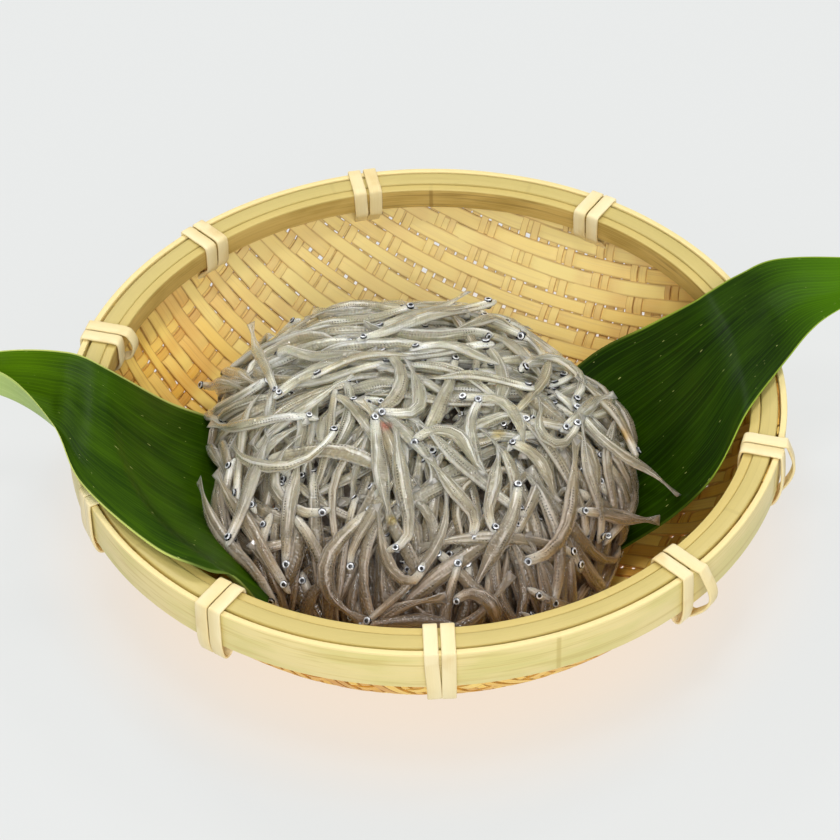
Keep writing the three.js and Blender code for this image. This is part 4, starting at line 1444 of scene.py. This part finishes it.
def buildCore(finish):
    # the inside of the heap, a dark sheet of painted shade which shows between the fish
    inset, sides = core["inset"], core["sides"]
    angle = np.arange(sides) * 2 * pi / sides
    points = []
    for share in core["underShares"]:
        x, y = heapPlace(angle, share * (1 - inset / heapReach(angle)))
        points.append(np.stack([x, y, groundHeight(x, y) + core["overGround"]], -1))
    for share in np.sin(pi / 2 * np.linspace(1, 0.02, core["rings"])):
        height = np.maximum(0, 1 - share ** heap["power"]) ** (1 / heap["power"]) * np.ones(sides)
        reach = share * swell(angle, height) * (1 - inset / heapReach(angle))
        x, y = heapPlace(angle, reach)
        z = footHeight(angle) * (1 - height) + (heap["top"] - inset) * height
        dent = core["dent"] * np.sin(x * 0.5 + y * 0.23) * np.sin(y * 0.43 - x * 0.11)
        points.append(np.stack([x, y, np.maximum(z + dent * share, groundHeight(x, y) + 1.0)], -1))
    rows = len(points)
    points = np.concatenate(points)
    i, k = np.meshgrid(np.arange(rows - 1), np.arange(sides), indexing="ij")
    a, b = i * sides + k, i * sides + (k + 1) % sides
    quads = np.stack([a, b, b + sides, a + sides], -1).reshape(-1, 4)
    ends = np.vstack([points[:sides].mean(0), points[-sides:].mean(0)])
    n = len(points)
    ring = np.arange(sides)
    after = (ring + 1) % sides
    caps = np.concatenate([
        np.stack([np.full(sides, n), after, ring], -1),
        np.stack([np.full(sides, n + 1), ring + n - sides, after + n - sides], -1),
    ])
    piece = meshPiece("heapInside", np.vstack([points, ends]), [quads, caps], [finish])
    faceOutwards(piece.data)
    settle(piece, "whitebait", "whitebait_heap")


# camera, floor and light

view = {
    "lens": 135.0,
    "sensor": 36.0,
    "elevation": 42.727,
    "distance": 1064.628,
    "aimX": -2.114,
    "aimZ": 44.91,
    "roll": -1.36,
}
# where each lamp hangs in metres, its width and height, and its power in watts
lamps = {
    "keyWindow": ((-0.15, 0.45, 1.5), (1.0, 1.0), 1.5),
    "frontFill": ((0.15, -1.25, 0.8), (1.3, 0.8), 12.5),
    "rightFill": ((1.3, 0.1, 0.8), (0.6, 0.6), 1.2),
    "leftFill": ((-1.3, -0.3, 0.7), (0.6, 0.6), 2.0),
    "smallLampA": ((-0.45, 0.85, 1.1), (0.28, 0.28), 4.6),
    "smallLampB": ((0.5, 0.65, 1.25), (0.26, 0.26), 3.8),
    "smallLampC": ((-0.1, -0.35, 1.5), (0.32, 0.32), 5.2),
    "smallLampD": ((0.3, 0.1, 1.5), (0.12, 0.12), 1.4),
}
lampAim = (0, 0, 0.03)
table = {
    "half": 4.0,  # metres
    "base": (0.12, 0.12, 0.12, 1.0),
    "glowNear": (0.80, 0.69, 0.58, 1.0),
    "glowFar": (0.675, 0.69, 0.685, 1.0),
    "worldLight": 0.3,
}


def setCamera():
    tilt, roll = radians(view["elevation"]), radians(view["roll"])
    back = Vector((0, -cos(tilt), sin(tilt)))
    right = Vector((1, 0, 0))
    up = Vector((0, sin(tilt), cos(tilt)))
    right, up = right * cos(roll) + up * sin(roll), up * cos(roll) - right * sin(roll)
    data = bpy.data.cameras.new("photoView")
    data.lens = view["lens"]
    data.sensor_width = view["sensor"]
    data.clip_end = 20
    camera = bpy.data.objects.new("photoView", data)
    scene.collection.objects.link(camera)
    place = (Vector((view["aimX"], 0, view["aimZ"])) + back * view["distance"]) * mm
    turn = Matrix((right, up, back)).transposed().to_4x4()
    camera.matrix_world = Matrix.Translation(place) @ turn
    scene.camera = camera


def addSoftbox(name, place, size, power):
    data = bpy.data.lights.new(name, "AREA")
    data.shape = "RECTANGLE"
    data.size, data.size_y = size
    data.energy = power
    light = bpy.data.objects.new(name, data)
    light.location = place
    light.rotation_euler = (Vector(place) - Vector(lampAim)).to_track_quat("Z", "Y").to_euler()
    scene.collection.objects.link(light)


def setStage():
    # a lit table: it glows by itself, a little warmer round the basket, where the warmth is painted light
    # bounced from the basket
    material, tree, shader = newFinish(
        "paleTable", Roughness=0.8, Specular_IOR_Level=0.0, Base_Color=table["base"], Emission_Strength=1.0,
    )
    x, y, _ = splitXyz(objectPoint(tree))
    away = (x * x + y * y).math("SQRT")
    glow = mixColours(between(away, 0.085, 0.145), table["glowNear"], table["glowFar"])
    tree.links.new(glow.socket, shader.inputs["Emission Color"])
    floorMesh = bpy.data.meshes.new("table")
    corners = [(x * table["half"], y * table["half"], 0) for x, y in ((-1, -1), (1, -1), (1, 1), (-1, 1))]
    floorMesh.from_pydata(corners, [], [(0, 1, 2, 3)])
    floorMesh.materials.append(material)
    floor = bpy.data.objects.new("table", floorMesh)
    scene.collection.objects.link(floor)
    world = bpy.data.worlds.new("studio")
    world.use_nodes = True
    background = world.node_tree.nodes["Background"]
    background.inputs["Color"].default_value = (1.0, 1.0, 1.0, 1.0)
    background.inputs["Strength"].default_value = table["worldLight"]
    scene.world = world
    for name, (place, size, power) in lamps.items():
        addSoftbox(name, place, size, power)


buildWeave()
buildHoops()
buildTies()
for leafName, leafShape in leaves.items():
    buildLeaf(leafName, leafShape)
laidFish, fishDice = layAllFish()
buildFish(laidFish, fishDice, fishFinish(), eyeFinishes())
buildCore(coreFinish())
setCamera()
setStage()
print("stage is set")
